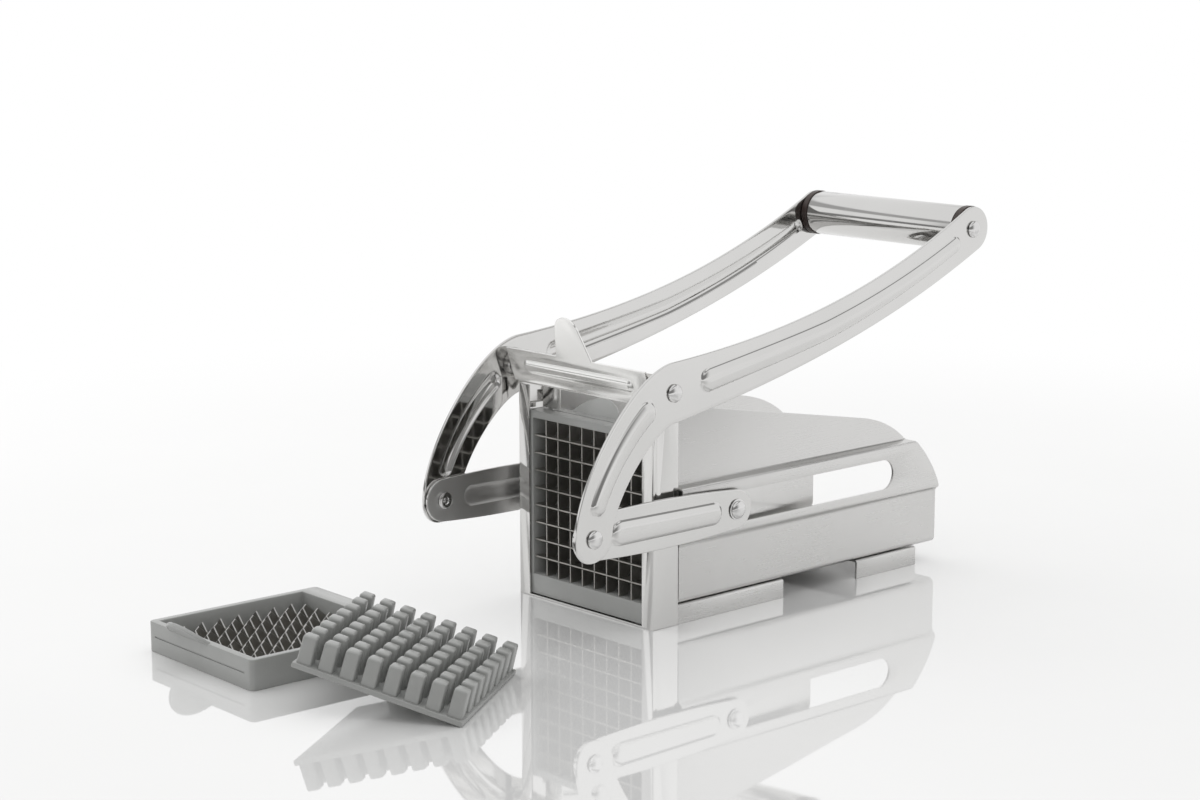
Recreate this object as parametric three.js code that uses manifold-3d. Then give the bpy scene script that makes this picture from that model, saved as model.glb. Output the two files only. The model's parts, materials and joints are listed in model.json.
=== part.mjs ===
// French fry cutter: a stainless lever press with changeable cutting cassettes.
// Millimetres, +Z up. The origin is the middle of the front frame's underside.
// Inside the group that holds all pieces, y is measured from the front frame's front face.
// The cut fries leave towards -Y, and the food channel runs back along +Y.

import * as THREE from 'three';
import { mergeVertices } from 'three/addons/utils/BufferGeometryUtils.js';
import Module from 'manifold-3d';

const wasm = await Module();
wasm.setup();

// General clearances
const seatGap = 0.3;          // between pieces that touch
const boreGap = 0.3;          // between a shank and its hole, on the radius
const runGap = 0.4;           // between pieces that slide past each other
const overrun = 1;            // how far a cut runs past the face it opens

// Front frame
const frameSheet = 1;
const postLip = 8;            // width of the lips in front of and behind the cassette
const postHollow = 3.05;      // between a post's outer wall and its guide wall
const guideWall = 1.2;        // folded wall that guides the cassette beside a post
const guideRise = 2.7;        // heights over the cassette's top
const shoulderRise = 8.2;     // where a post starts to narrow to its ear
const lipRise = 13.2;
const pivotRise = 21.95;
const earTurn = 25;           // degrees below level where the ear's rounding starts, behind

// Handle pivot, crank joint and link
const pivotY = 6.5;
const crankForward = 53.15;   // crank joint, measured forward and down from the pivot
const crankDown = 65.25;
const gripBack = 225.5;       // grip axis, measured back and up from the pivot
const gripUp = 62.65;
const armSheet = 1.6;
const armCrankRadius = 12;    // half widths of the arm along its length
const armWaistRadius = 12;
const armPivotRadius = 15.3;
const armSlimRadius = 9.6;
const armGripRadius = 12.3;
const armRibHeight = 1.8;     // how far the embossed ribs stand out
const upperRibStartRadius = 5.3;
const upperRibEndRadius = 3.6;
const lowerRibStartRadius = 4.4;
const lowerRibEndRadius = 3.3;
const linkSheet = 1.6;
const linkFrontRadius = 11.3; // half widths of the link along its length
const linkMiddleRadius = 12.2;
const linkRearRadius = 10.6;
const linkRibHeight = 1.8;
const linkRibFrontRadius = 6.2;
const linkRibRearRadius = 5.6;
const linkRibFrontMargin = 19;
const linkRibRearMargin = 17;
const pressedWall = 0.8;      // how much a pressed hollow is narrower than its rib

// Rivets
const shankRadius = 2.7;
const headRadius = 4.6;
const headHeight = 2.2;
const washerRadius = 5.4;
const washerHeight = 0.5;
const tailRadius = 4.4;
const tailBore = 1.7;
const tailBoreDepth = 3;
const tailLength = 1.2;

// Grip
const gripRadius = 12.3;
const gripWall = 1.2;
const gripCapLength = 4;
const gripCapRadius = 12.9;
const gripSpigot = 6;
const gripRodRadius = 3;
const spacerRadius = 6.5;

// Food channel of bent sheet
const channelSheet = 1.2;
const channelLength = 197;
const channelFloorZ = 10.5;
const floorBend = 3;
const wallHeight = 30.5;      // from the floor's underside to the band
const bandHeight = 29.6;
const bandStand = 3;          // how far the band stands out from the wall
const bandBend = 1.6;
const bandRearRise = 2;       // where the band's curved rear end starts, over its lower edge
const guardPlay = 2.55;       // between a guard and the grid opening
const guardFrontRise = 12.6;  // over the cassette's top
const guardSlopeRise = 16.3;  // over the band's top
const guardSlopeLength = 142; // the guard's top falls evenly this far, then curves down
const guardLength = 177.2;
const slotRise = 14.6;        // from the band's lower edge to the slot's axis
const slotPlay = 0.5;         // round the bush
const slotLength = 115.3;     // between the centres of the slot's ends

// Feet
const footSheet = 1.2;
const footInset = 0.6;
const frontFootLength = 77;
const rearFootLength = 48;
const rearFootInset = 15;     // from the channel's rear end

// Blade latch
const latchSheet = 1.2;
const latchLean = 18;         // degrees that the panel leans out at its top
const latchRise = 15.7;       // from the cassette's top to the panel's foot
const latchPanelHeight = 18.4;
const latchEarRadius = 8;
const latchTabHeight = 23;
const latchTabTip = 9;        // radius of the thumb tab's round end
const latchTabTaper = 16;     // degrees that each side of the tab leans in
const latchRibRadius = 3.6;
const latchRibHeight = 1.4;
const latchRibMargin = 13.4;
const latchFlangeReach = 12;
const latchToeWidth = 13;
const latchToeLift = 0.6;     // over the cassette

// Cutting cassettes
const cassetteDepth = 15.1;
const cassetteSide = 3.8;     // wall beside the opening
const cassetteBase = 10.8;    // wall under the opening
const cassetteTop = 4;        // wall over the opening, with the finger tab
const cassetteCorner = 2.6;
const gridOpening = 83.7;
const fineCells = 9;
const coarseCells = 8;
const stripThick = 0.7;
const stripBand = 5.5;        // depth of a strip below its teeth
const toothHeight = 4.6;
const stripSetback = 1.3;     // from the cassette's exit face to the strips
const pocketDepth = 1.6;      // how far a strip's ends enter the cassette
const tabRadius = 20;
const tabHeight = 12;
const tabThick = 2;
const tabLean = 48;           // degrees
const tabOffset = 9;          // sideways from the middle
const scoreWidth = 0.8;
const scoreDepth = 0.5;
const scoreMargin = 6;

// Pusher blocks
const blockPlay = 0.35;       // between the block and the grid opening, on each side
const blockPlate = 2.6;
const pegHeight = 13.4;
const pegTipGap = 4;          // between two pegs at their tips
const pegRootGap = 3.2;       // and at their roots
const bossRadius = 7;
const bossLength = 9.5;
const pegStandoff = 1;        // from the peg tips to the teeth when the handle is down

// Pusher carriage
const carriageSheet = 1.2;
const carriagePlay = 0.5;     // beside the channel walls
const carriageTail = 65.3;    // the side flanges' length behind the slide pins
const slideSetback = 22.7;    // from the carriage's front face to the slide pins
const wingHalfHeight = 11;
const wingCorner = 4;
const carriageLift = 1.5;     // over the channel floor
const carriageFold = 12;
const bushRadius = 7.75;
const bushFlangeRadius = 9.4;
const bushFlange = 1.6;

// Where the spare cassette and the spare pusher block lie
const spareTrayX = -44.1;
const spareTrayY = -159.5;
const spareTrayTurn = -1.4;   // degrees
const spareBlockX = 84.3;     // middle of the edge that the block rests on
const spareBlockY = -133.6;
const spareBlockTurn = 33.2;

// Smoothness
const roundSides = 20;
const headSides = 12;
const smallSides = 12;
const cornerSteps = 3;
const arcSteps = 6;
const limbSteps = 10;
const domeSteps = 3;
const beadSteps = 2;

// Shares that shape the arms: handles of their spines and the stretches with ribs
const lowerPivotPullShare = 0.24;
const lowerCrankPullShare = 0.36;
const lowerPivotRiseShare = 0.15;
const lowerCrankBackShare = 0.13;
const upperPullShare = 1 / 3;
const upperPivotRiseShare = 0.12;
const upperGripRiseShare = 0.5;
const upperRibShares = [0.115, 0.93];
const lowerRibShares = [0.27, 0.8];
const guardCurveShares = [0.62, 0.24];
const bandCurveShares = [0.26, 0.5];

// Worked out from the sizes above
const radians = THREE.MathUtils.degToRad;
const cassetteHalfWidth = gridOpening / 2 + cassetteSide;
const cassetteFloorZ = frameSheet + seatGap;
const openingMiddleZ = cassetteFloorZ + cassetteBase + gridOpening / 2;
const cassetteTopZ = cassetteFloorZ + cassetteBase + gridOpening + cassetteTop;
const cassetteExitY = frameSheet + seatGap;
const guideInner = cassetteHalfWidth + seatGap;
const frameHalfWidth = guideInner + guideWall + postHollow + frameSheet;
const frameDepth = cassetteDepth + (frameSheet + seatGap) * 2;
const channelStart = frameDepth + seatGap;
const channelEnd = channelStart + channelLength;
const wallHalfWidth = frameHalfWidth;
const bandBottomZ = channelFloorZ + wallHeight;
const bandTopZ = bandBottomZ + bandHeight;
const bandHalfWidth = wallHalfWidth + bandStand;
const guardHalfWidth = gridOpening / 2 + guardPlay + channelSheet;
const slideAxisZ = bandBottomZ + slotRise;
const teethY = cassetteExitY + stripSetback + stripBand + toothHeight;
const blockHalf = gridOpening / 2 - blockPlay;
const blockBackY = teethY + pegStandoff + pegHeight + blockPlate;
const carriageY = blockBackY + seatGap;
const carriageHalfWidth = wallHalfWidth - channelSheet - carriagePlay;
const slideY = carriageY + slideSetback;
const pivotZ = cassetteTopZ + pivotRise;
const crankY = pivotY - crankForward;
const crankZ = pivotZ - crankDown;
const gripY = pivotY + gripBack;
const gripZ = pivotZ + gripUp;
const linkReach = Math.hypot(slideY - crankY, slideAxisZ - crankZ);
const earRadius = pivotY;
const tailInner = bandHalfWidth + runGap;
const tailOuter = tailInner + tailLength;
const linkInner = tailOuter + seatGap;
const linkOuter = linkInner + linkSheet;
const armInner = linkOuter + seatGap;
const armOuter = armInner + armSheet;
const latchEarInner = frameHalfWidth + seatGap;
const latchEarOuter = latchEarInner + latchSheet;
const pinRadius = shankRadius;
const boltHole = shankRadius + boreGap;

const steel = new THREE.MeshStandardMaterial({ color: 0xd6d8da, metalness: 1, roughness: 0.16 });
const satin = new THREE.MeshStandardMaterial({ color: 0xc4c7ca, metalness: 1, roughness: 0.4 });
const blade = new THREE.MeshStandardMaterial({ color: 0xbfc2c4, metalness: 1, roughness: 0.25 });
const plastic = new THREE.MeshStandardMaterial({ color: 0x84878b, metalness: 0, roughness: 0.5 });
const dark = new THREE.MeshStandardMaterial({ color: 0x2c221d, metalness: 0, roughness: 0.45 });

// Solids: closed three.js geometry goes in, and joined or cut geometry comes out

function solid(geometry) {
  const bare = geometry.clone();
  bare.deleteAttribute('normal');
  bare.deleteAttribute('uv');
  const merged = mergeVertices(bare);
  return new wasm.Manifold(new wasm.Mesh({
    numProp: 3,
    vertProperties: new Float32Array(merged.attributes.position.array),
    triVerts: new Uint32Array(merged.index.array),
  }));
}

function shell(body) {
  const mesh = body.getMesh();
  const geometry = new THREE.BufferGeometry();
  geometry.setAttribute('position', new THREE.BufferAttribute(mesh.vertProperties, 3));
  geometry.setIndex(new THREE.BufferAttribute(mesh.triVerts, 1));
  geometry.computeVertexNormals();
  return geometry;
}

function join(...geometries) {
  return shell(geometries.map(solid).reduce((sum, next) => sum.add(next)));
}

function cut(geometry, ...tools) {
  return shell(tools.map(solid).reduce((rest, tool) => rest.subtract(tool), solid(geometry)));
}

function common(first, second) {
  return shell(solid(first).intersect(solid(second)));
}

function mirrored(geometry) {
  const copy = geometry.clone().applyMatrix4(new THREE.Matrix4().makeScale(-1, 1, 1));
  const index = copy.index.array;
  for (let i = 0; i < index.length; i += 3) [index[i], index[i + 1]] = [index[i + 1], index[i]];
  copy.computeVertexNormals();
  return copy;
}

// Directions for extrusions: a shape drawn in (y, z), (x, z) or (x, y) is pushed along the third
const axisX = new THREE.Vector3(1, 0, 0);
const axisY = new THREE.Vector3(0, 1, 0);
const axisZ = new THREE.Vector3(0, 0, 1);
const alongX = new THREE.Matrix4().makeBasis(axisY, axisZ, axisX);
const alongY = new THREE.Matrix4().makeBasis(axisX, axisZ, axisY.clone().negate());

function push(shape, depth, bevel = 0, bevelSegments = 1, curveSegments = arcSteps) {
  return new THREE.ExtrudeGeometry(shape, {
    depth: depth - bevel,
    curveSegments,
    bevelEnabled: bevel > 0,
    bevelThickness: bevel,
    bevelSize: bevel,
    bevelOffset: -bevel,
    bevelSegments,
  });
}

function plateX(shape, from, to, bevel = 0, steps = 1) {
  return push(shape, to - from, bevel, steps).applyMatrix4(alongX).translate(from, 0, 0);
}

function plateY(shape, from, to) {
  return push(shape, to - from).applyMatrix4(alongY).translate(0, to, 0);
}

function slab(x0, x1, y0, y1, z0, z1) {
  const box = new THREE.BoxGeometry(x1 - x0, y1 - y0, z1 - z0);
  return box.translate((x0 + x1) / 2, (y0 + y1) / 2, (z0 + z1) / 2);
}

function rodX(radius, from, to, y, z, sides = smallSides) {
  const rod = new THREE.CylinderGeometry(radius, radius, to - from, sides);
  return rod.rotateZ(Math.PI / 2).translate((from + to) / 2, y, z);
}

function outline(points) {
  return new THREE.Shape(points.map(([u, v]) => new THREE.Vector2(u, v)));
}

// A turned piece on an axis along X: the profile lists (x, radius) from the inside out
function turnedX(profile, y, z, sides = headSides) {
  const points = profile.map(([x, radius]) => new THREE.Vector2(radius, x));
  return new THREE.LatheGeometry(points, sides).rotateZ(-Math.PI / 2).translate(0, y, z);
}

// The dome of a rivet head, from its rim at x out to its crown on the axis
function dome(x, radius, height) {
  const points = [];
  for (let i = 0; i <= domeSteps; i += 1) {
    const angle = (Math.PI / 2) * (i / domeSteps);
    points.push([x + height * Math.sin(angle), i === domeSteps ? 0 : radius * Math.cos(angle)]);
  }
  return points;
}

// The outline of bent sheet: its outer path and the same path set to the left by the thickness
function bentSheet(path, thickness) {
  const corners = path.map(([u, v]) => new THREE.Vector2(u, v));
  const normals = corners.slice(1).map((corner, i) => {
    const run = corner.clone().sub(corners[i]).normalize();
    return new THREE.Vector2(-run.y, run.x);
  });
  const inner = corners.map((corner, i) => {
    const before = normals[Math.max(i - 1, 0)];
    const after = normals[Math.min(i, normals.length - 1)];
    const miter = before.clone().add(after);
    return corner.clone().addScaledVector(miter, 2 * thickness / miter.lengthSq());
  });
  return new THREE.Shape([...corners, ...inner.reverse()]);
}

// A strap that follows a curve, with a half width that changes and round ends
function strap(curve, halfWidth, steps = limbSteps) {
  const left = [];
  const right = [];
  for (let i = 0; i <= steps; i += 1) {
    const share = i / steps;
    const point = curve.getPoint(share);
    const run = curve.getTangent(share);
    const side = new THREE.Vector2(-run.y, run.x).multiplyScalar(halfWidth(share));
    left.push(point.clone().add(side));
    right.push(point.clone().sub(side));
  }
  const cap = (share, turn) => {
    const run = curve.getTangent(share);
    const start = Math.atan2(run.y, run.x) + turn;
    return Array.from({ length: arcSteps - 1 }, (_, i) => {
      const angle = start - Math.PI * ((i + 1) / arcSteps);
      const arm = new THREE.Vector2(Math.cos(angle), Math.sin(angle));
      return curve.getPoint(share).addScaledVector(arm, halfWidth(share));
    });
  };
  const ring = [...left, ...cap(1, Math.PI / 2), ...right.reverse(), ...cap(0, -Math.PI / 2)];
  return new THREE.Shape(ring.reverse());
}

function stretch(curve, from, to) {
  const part = new THREE.Curve();
  part.getPoint = (share) => curve.getPoint(from + (to - from) * share);
  part.getTangent = (share) => curve.getTangent(from + (to - from) * share);
  return part;
}

const blend = (a, b) => (share) => a + (b - a) * share;
const bow = (a, b, c) => (share) => (
  (1 - share) ** 2 * a + 2 * share * (1 - share) * b + share ** 2 * c
);

// Front frame: two posts folded around the cassette, a floor and the pivot ears

function frontFrame() {
  const inner = frameHalfWidth - frameSheet;
  const side = new THREE.Shape();
  side.moveTo(0, 0);
  side.lineTo(frameDepth, 0);
  side.lineTo(frameDepth, cassetteTopZ + shoulderRise);
  side.absarc(pivotY, pivotZ, earRadius, radians(-earTurn), Math.PI, false);
  side.closePath();
  const post = [
    plateX(side, inner, frameHalfWidth),
    slab(frameHalfWidth - postLip, frameHalfWidth, 0, frameSheet,
      0, cassetteTopZ + lipRise),
    slab(frameHalfWidth - postLip, frameHalfWidth, frameDepth - frameSheet, frameDepth,
      0, cassetteTopZ + shoulderRise),
    slab(guideInner, guideInner + guideWall, 0, frameDepth, 0, cassetteTopZ + guideRise),
  ];
  const floor = slab(-frameHalfWidth, frameHalfWidth, 0, frameDepth, 0, frameSheet);
  const right = join(...post);
  const frame = join(right, mirrored(right), floor);
  return cut(frame, rodX(boltHole, -frameHalfWidth - overrun, frameHalfWidth + overrun,
    pivotY, pivotZ));
}

// Food channel: one bent sheet with a floor, walls, outward bands with slots, and guards

function foodChannel() {
  const right = [
    [wallHalfWidth - floorBend, channelFloorZ],
    [wallHalfWidth, channelFloorZ + floorBend],
    [wallHalfWidth, bandBottomZ],
    [bandHalfWidth, bandBottomZ + bandBend],
    [bandHalfWidth, bandTopZ - bandBend],
    [bandHalfWidth - bandBend, bandTopZ],
    [guardHalfWidth, bandTopZ],
    [guardHalfWidth, cassetteTopZ + guardFrontRise + overrun],
  ];
  const left = right.map(([x, z]) => [-x, z]).reverse();
  const bent = plateY(bentSheet([...left, ...right], channelSheet), channelStart, channelEnd);

  const side = new THREE.Shape();
  side.moveTo(channelStart - overrun, channelFloorZ - overrun);
  side.lineTo(channelEnd + overrun, channelFloorZ - overrun);
  side.lineTo(channelEnd + overrun, bandBottomZ);
  const bandRearZ = bandBottomZ + bandRearRise;
  const guardEnd = channelStart + guardLength;
  const slopeEnd = channelStart + guardSlopeLength;
  const slopeZ = bandTopZ + guardSlopeRise;
  side.lineTo(channelEnd - runGap, bandRearZ);
  const [bandOut, bandUp] = bandCurveShares;
  side.quadraticCurveTo(
    channelEnd - (channelEnd - guardEnd) * bandOut,
    bandRearZ + (bandTopZ - bandRearZ) * bandUp,
    guardEnd, bandTopZ,
  );
  const [guardOut, guardUp] = guardCurveShares;
  side.quadraticCurveTo(
    slopeEnd + (guardEnd - slopeEnd) * guardOut,
    slopeZ - (slopeZ - bandTopZ) * guardUp,
    slopeEnd, slopeZ,
  );
  side.lineTo(channelStart, cassetteTopZ + guardFrontRise);
  side.lineTo(channelStart - overrun, cassetteTopZ + guardFrontRise);
  side.closePath();

  const slot = new THREE.Shape();
  const slotRadius = bushRadius + slotPlay;
  slot.absarc(slideY, slideAxisZ, slotRadius, Math.PI / 2, -Math.PI / 2);
  slot.absarc(slideY + slotLength, slideAxisZ, slotRadius, -Math.PI / 2, Math.PI / 2);
  slot.closePath();
  const reach = bandHalfWidth + overrun;
  return cut(common(bent, plateX(side, -reach, reach)), plateX(slot, -reach, reach));
}

function foot(from, to) {
  const top = channelFloorZ - seatGap;
  const footHalfWidth = wallHalfWidth - footInset;
  const path = [[footHalfWidth, 0], [footHalfWidth, top], [-footHalfWidth, top],
    [-footHalfWidth, 0]];
  return plateY(bentSheet(path, footSheet), from, to);
}

// Handle arms: flat straps that follow two curved spines, with pressed ribs

const lowerSpine = new THREE.CubicBezierCurve(
  new THREE.Vector2(pivotY, pivotZ),
  new THREE.Vector2(pivotY - crankDown * lowerPivotPullShare,
    pivotZ - crankDown * lowerPivotPullShare * lowerPivotRiseShare),
  new THREE.Vector2(crankY + crankDown * lowerCrankPullShare * lowerCrankBackShare,
    crankZ + crankDown * lowerCrankPullShare),
  new THREE.Vector2(crankY, crankZ),
);
const upperSpine = new THREE.CubicBezierCurve(
  new THREE.Vector2(pivotY, pivotZ),
  new THREE.Vector2(pivotY + gripBack * upperPullShare,
    pivotZ + gripBack * upperPullShare * upperPivotRiseShare),
  new THREE.Vector2(gripY - gripBack * upperPullShare,
    gripZ - gripBack * upperPullShare * upperGripRiseShare),
  new THREE.Vector2(gripY, gripZ),
);

function pressedRib(curve, from, to, startRadius, endRadius, face, sheet, height, steps) {
  const run = stretch(curve, from, to);
  const outside = strap(run, blend(startRadius, endRadius), steps);
  const inside = strap(run, blend(startRadius - pressedWall, endRadius - pressedWall), steps);
  const rib = plateX(outside, face + sheet / 2, face + sheet + height, height, beadSteps);
  const hollow = plateX(inside, face - overrun, face + height, height / 2);
  return { rib, hollow };
}

function handleArm() {
  const limbs = [
    plateX(strap(lowerSpine, bow(armPivotRadius, armWaistRadius, armCrankRadius)),
      armInner, armOuter),
    plateX(strap(upperSpine, bow(armPivotRadius, armSlimRadius, armGripRadius)),
      armInner, armOuter),
  ];
  const ribs = [
    pressedRib(upperSpine, ...upperRibShares, upperRibStartRadius, upperRibEndRadius,
      armInner, armSheet, armRibHeight, limbSteps),
    pressedRib(lowerSpine, ...lowerRibShares, lowerRibStartRadius, lowerRibEndRadius,
      armInner, armSheet, armRibHeight, arcSteps),
  ];
  const holes = [[pivotY, pivotZ, boltHole], [crankY, crankZ, boltHole],
    [gripY, gripZ, gripRodRadius + boreGap]];
  return cut(
    join(...limbs, ...ribs.map(({ rib }) => rib)),
    ...ribs.map(({ hollow }) => hollow),
    ...holes.map(([y, z, radius]) => rodX(radius, armInner - overrun, armOuter + overrun, y, z)),
  );
}

// Links from the crank joints to the slides

function link() {
  const spine = new THREE.LineCurve(new THREE.Vector2(crankY, crankZ),
    new THREE.Vector2(slideY, slideAxisZ));
  const halfWidth = bow(linkFrontRadius, linkMiddleRadius, linkRearRadius);
  const bar = plateX(strap(spine, halfWidth, arcSteps), linkInner, linkOuter);
  const { rib, hollow } = pressedRib(spine, linkRibFrontMargin / linkReach,
    1 - linkRibRearMargin / linkReach, linkRibFrontRadius, linkRibRearRadius,
    linkInner, linkSheet, linkRibHeight, 1);
  return cut(join(bar, rib), hollow,
    rodX(boltHole, linkInner - overrun, linkOuter + overrun, crankY, crankZ),
    rodX(boltHole, linkInner - overrun, linkOuter + overrun, slideY, slideAxisZ));
}

// Rivets, bushes and the grip, all turned on axes along X

function pivotRivet() {
  const inside = frameHalfWidth - frameSheet - seatGap;
  return turnedX([
    [inside - tailLength, 0], [inside - tailLength, tailRadius], [inside, tailRadius],
    [inside, shankRadius], [armOuter + seatGap, shankRadius],
    ...dome(armOuter + seatGap, headRadius, headHeight),
  ], pivotY, pivotZ);
}

function pivotSpacer() {
  const from = latchEarOuter + seatGap;
  const to = armInner - seatGap;
  return turnedX([[from, boltHole], [from, spacerRadius], [to, spacerRadius], [to, boltHole],
    [from, boltHole]], pivotY, pivotZ, smallSides);
}

function crankRivet() {
  return turnedX([
    [tailInner + tailBoreDepth, 0], [tailInner + tailBoreDepth, tailBore],
    [tailInner, tailBore], [tailInner, tailRadius], [tailOuter, tailRadius],
    [tailOuter, shankRadius], [armOuter + seatGap, shankRadius],
    ...dome(armOuter + seatGap, headRadius, headHeight),
  ], crankY, crankZ);
}

function slideRivet() {
  const washer = linkOuter + seatGap;
  return turnedX([
    [linkInner, 0], [linkInner, shankRadius], [washer, shankRadius], [washer, washerRadius],
    [washer + washerHeight, washerRadius],
    ...dome(washer + washerHeight, headRadius, headHeight),
  ], slideY, slideAxisZ);
}

function slideBush() {
  const from = carriageHalfWidth + seatGap;
  return turnedX([
    [from, boltHole], [from, bushFlangeRadius], [from + bushFlange, bushFlangeRadius],
    [from + bushFlange, bushRadius], [tailOuter, bushRadius], [tailOuter, boltHole],
    [from, boltHole],
  ], slideY, slideAxisZ);
}

function slidePin() {
  const head = carriageHalfWidth - carriageSheet - seatGap;
  const crown = dome(0, headRadius, headHeight).map(([x, radius]) => [head - x, radius]);
  return turnedX([
    ...crown.reverse(), [head, pinRadius], [tailOuter, pinRadius], [tailOuter, 0],
  ], slideY, slideAxisZ);
}

const capInner = armInner - seatGap - gripCapLength;
const tubeEnd = capInner - seatGap;

function gripTube() {
  const bore = gripRadius - gripWall;
  return turnedX([[-tubeEnd, bore], [-tubeEnd, gripRadius], [tubeEnd, gripRadius],
    [tubeEnd, bore], [-tubeEnd, bore]], gripY, gripZ, roundSides);
}

function gripCap() {
  const bore = gripRodRadius + boreGap;
  const spigot = gripRadius - gripWall - seatGap;
  return turnedX([
    [capInner - gripSpigot, bore], [capInner - gripSpigot, spigot], [capInner, spigot],
    [capInner, gripCapRadius], [capInner + gripCapLength, gripCapRadius],
    [capInner + gripCapLength, bore], [capInner - gripSpigot, bore],
  ], gripY, gripZ, roundSides);
}

function gripRod() {
  const seat = armOuter + seatGap;
  const crown = dome(seat, headRadius, headHeight);
  return turnedX([
    ...crown.map(([x, radius]) => [-x, radius]).reverse(), [-seat, gripRodRadius],
    [seat, gripRodRadius], ...crown,
  ], gripY, gripZ);
}

// Blade latch: a ribbed panel with a thumb tab, ears on the pivots, and toes over the cassette

function bladeLatch() {
  const lean = radians(latchLean);
  const latchFootZ = cassetteTopZ + latchRise;
  const face = new THREE.Shape();
  const taper = radians(latchTabTaper);
  const tipRise = latchTabHeight - latchTabTip;
  const tabBase = latchTabTip / Math.cos(taper) + tipRise * Math.tan(taper);
  face.moveTo(-latchEarOuter, 0);
  face.lineTo(latchEarOuter, 0);
  face.lineTo(latchEarOuter, latchPanelHeight);
  face.lineTo(tabBase, latchPanelHeight);
  face.absarc(0, latchPanelHeight + tipRise, latchTabTip, taper, Math.PI - taper, false);
  face.lineTo(-tabBase, latchPanelHeight);
  face.lineTo(-latchEarOuter, latchPanelHeight);
  face.closePath();
  const reach = frameHalfWidth - latchRibMargin;
  const ribSpine = new THREE.LineCurve(new THREE.Vector2(-reach, latchPanelHeight / 2),
    new THREE.Vector2(reach, latchPanelHeight / 2));
  const rib = push(strap(ribSpine, blend(latchRibRadius, latchRibRadius), 1),
    latchSheet / 2 + latchRibHeight, latchRibHeight, beadSteps)
    .applyMatrix4(alongY).translate(0, -latchSheet / 2, 0);
  const hollowRadius = latchRibRadius - pressedWall;
  const hollow = push(strap(ribSpine, blend(hollowRadius, hollowRadius), 1),
    overrun + latchRibHeight, latchRibHeight / 2)
    .applyMatrix4(alongY).translate(0, overrun, 0);
  const panel = cut(join(plateY(face, -latchSheet, 0), rib), hollow)
    .rotateX(lean).translate(0, -seatGap, latchFootZ);

  const footY = -seatGap - latchSheet * Math.cos(lean);
  const footZ = latchFootZ - latchSheet * Math.sin(lean);
  const headY = footY - latchPanelHeight * Math.sin(lean);
  const headZ = footZ + latchPanelHeight * Math.cos(lean);
  const cheek = outline([[footY, footZ], [pivotY, pivotZ - latchEarRadius],
    [pivotY, pivotZ + latchEarRadius], [headY, headZ]]);
  const ear = cut(
    join(plateX(cheek, latchEarInner, latchEarOuter),
      rodX(latchEarRadius, latchEarInner, latchEarOuter, pivotY, pivotZ, roundSides)),
    rodX(boltHole, latchEarInner - overrun, latchEarOuter + overrun, pivotY, pivotZ),
  );

  const flangeHalf = frameHalfWidth - frameSheet - runGap;
  const back = footY + latchFlangeReach;
  const flange = slab(-flangeHalf, flangeHalf, footY, back, latchFootZ - latchSheet, latchFootZ);
  const toeOut = frameHalfWidth - postLip - runGap;
  const toe = slab(toeOut - latchToeWidth, toeOut, back - latchSheet, back,
    cassetteTopZ + latchToeLift, latchFootZ);
  return join(panel, ear, mirrored(join(ear)), flange, toe, mirrored(join(toe)));
}

// Cutting cassette, drawn flat with its exit face down and its tab wall towards -Y

function cassetteFrame(cells) {
  const pitch = gridOpening / cells;
  const south = -gridOpening / 2 - cassetteTop;
  const north = gridOpening / 2 + cassetteBase;
  const block = new THREE.Shape();
  block.absarc(cassetteHalfWidth - cassetteCorner, south + cassetteCorner, cassetteCorner,
    -Math.PI / 2, 0);
  block.absarc(cassetteHalfWidth - cassetteCorner, north - cassetteCorner, cassetteCorner,
    0, Math.PI / 2);
  block.absarc(-cassetteHalfWidth + cassetteCorner, north - cassetteCorner, cassetteCorner,
    Math.PI / 2, Math.PI);
  block.absarc(-cassetteHalfWidth + cassetteCorner, south + cassetteCorner, cassetteCorner,
    Math.PI, Math.PI * 1.5);
  block.closePath();
  const half = gridOpening / 2;
  const body = push(block, cassetteDepth, 0, 1, cornerSteps);
  const opening = slab(-half, half, -half, half, -overrun, cassetteDepth + overrun);
  const pocketHalf = stripThick / 2 + seatGap;
  const pocketEnd = half + pocketDepth + seatGap;
  const low = stripSetback - seatGap;
  const pockets = [];
  for (let i = 1; i < cells; i += 1) {
    const at = -half + pitch * i;
    pockets.push(slab(at - pocketHalf, at + pocketHalf, -pocketEnd, pocketEnd,
      low, cassetteDepth + overrun));
    pockets.push(slab(-pocketEnd, pocketEnd, at - pocketHalf, at + pocketHalf,
      low, cassetteDepth + overrun));
  }
  const score = slab(-cassetteHalfWidth + scoreMargin, cassetteHalfWidth - scoreMargin,
    south - overrun, south + scoreDepth, cassetteDepth / 2, cassetteDepth / 2 + scoreWidth);
  const moon = new THREE.Shape();
  const spread = Math.acos(1 - tabHeight / tabRadius);
  moon.absarc(0, tabHeight - tabRadius, tabRadius, Math.PI / 2 - spread, Math.PI / 2 + spread);
  moon.closePath();
  const tab = plateY(moon, 0, tabThick)
    .rotateX(radians(tabLean))
    .translate(-tabOffset, south + tabThick / 2, cassetteDepth - tabThick);
  return join(cut(body, opening, ...pockets, score), tab);
}

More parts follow.
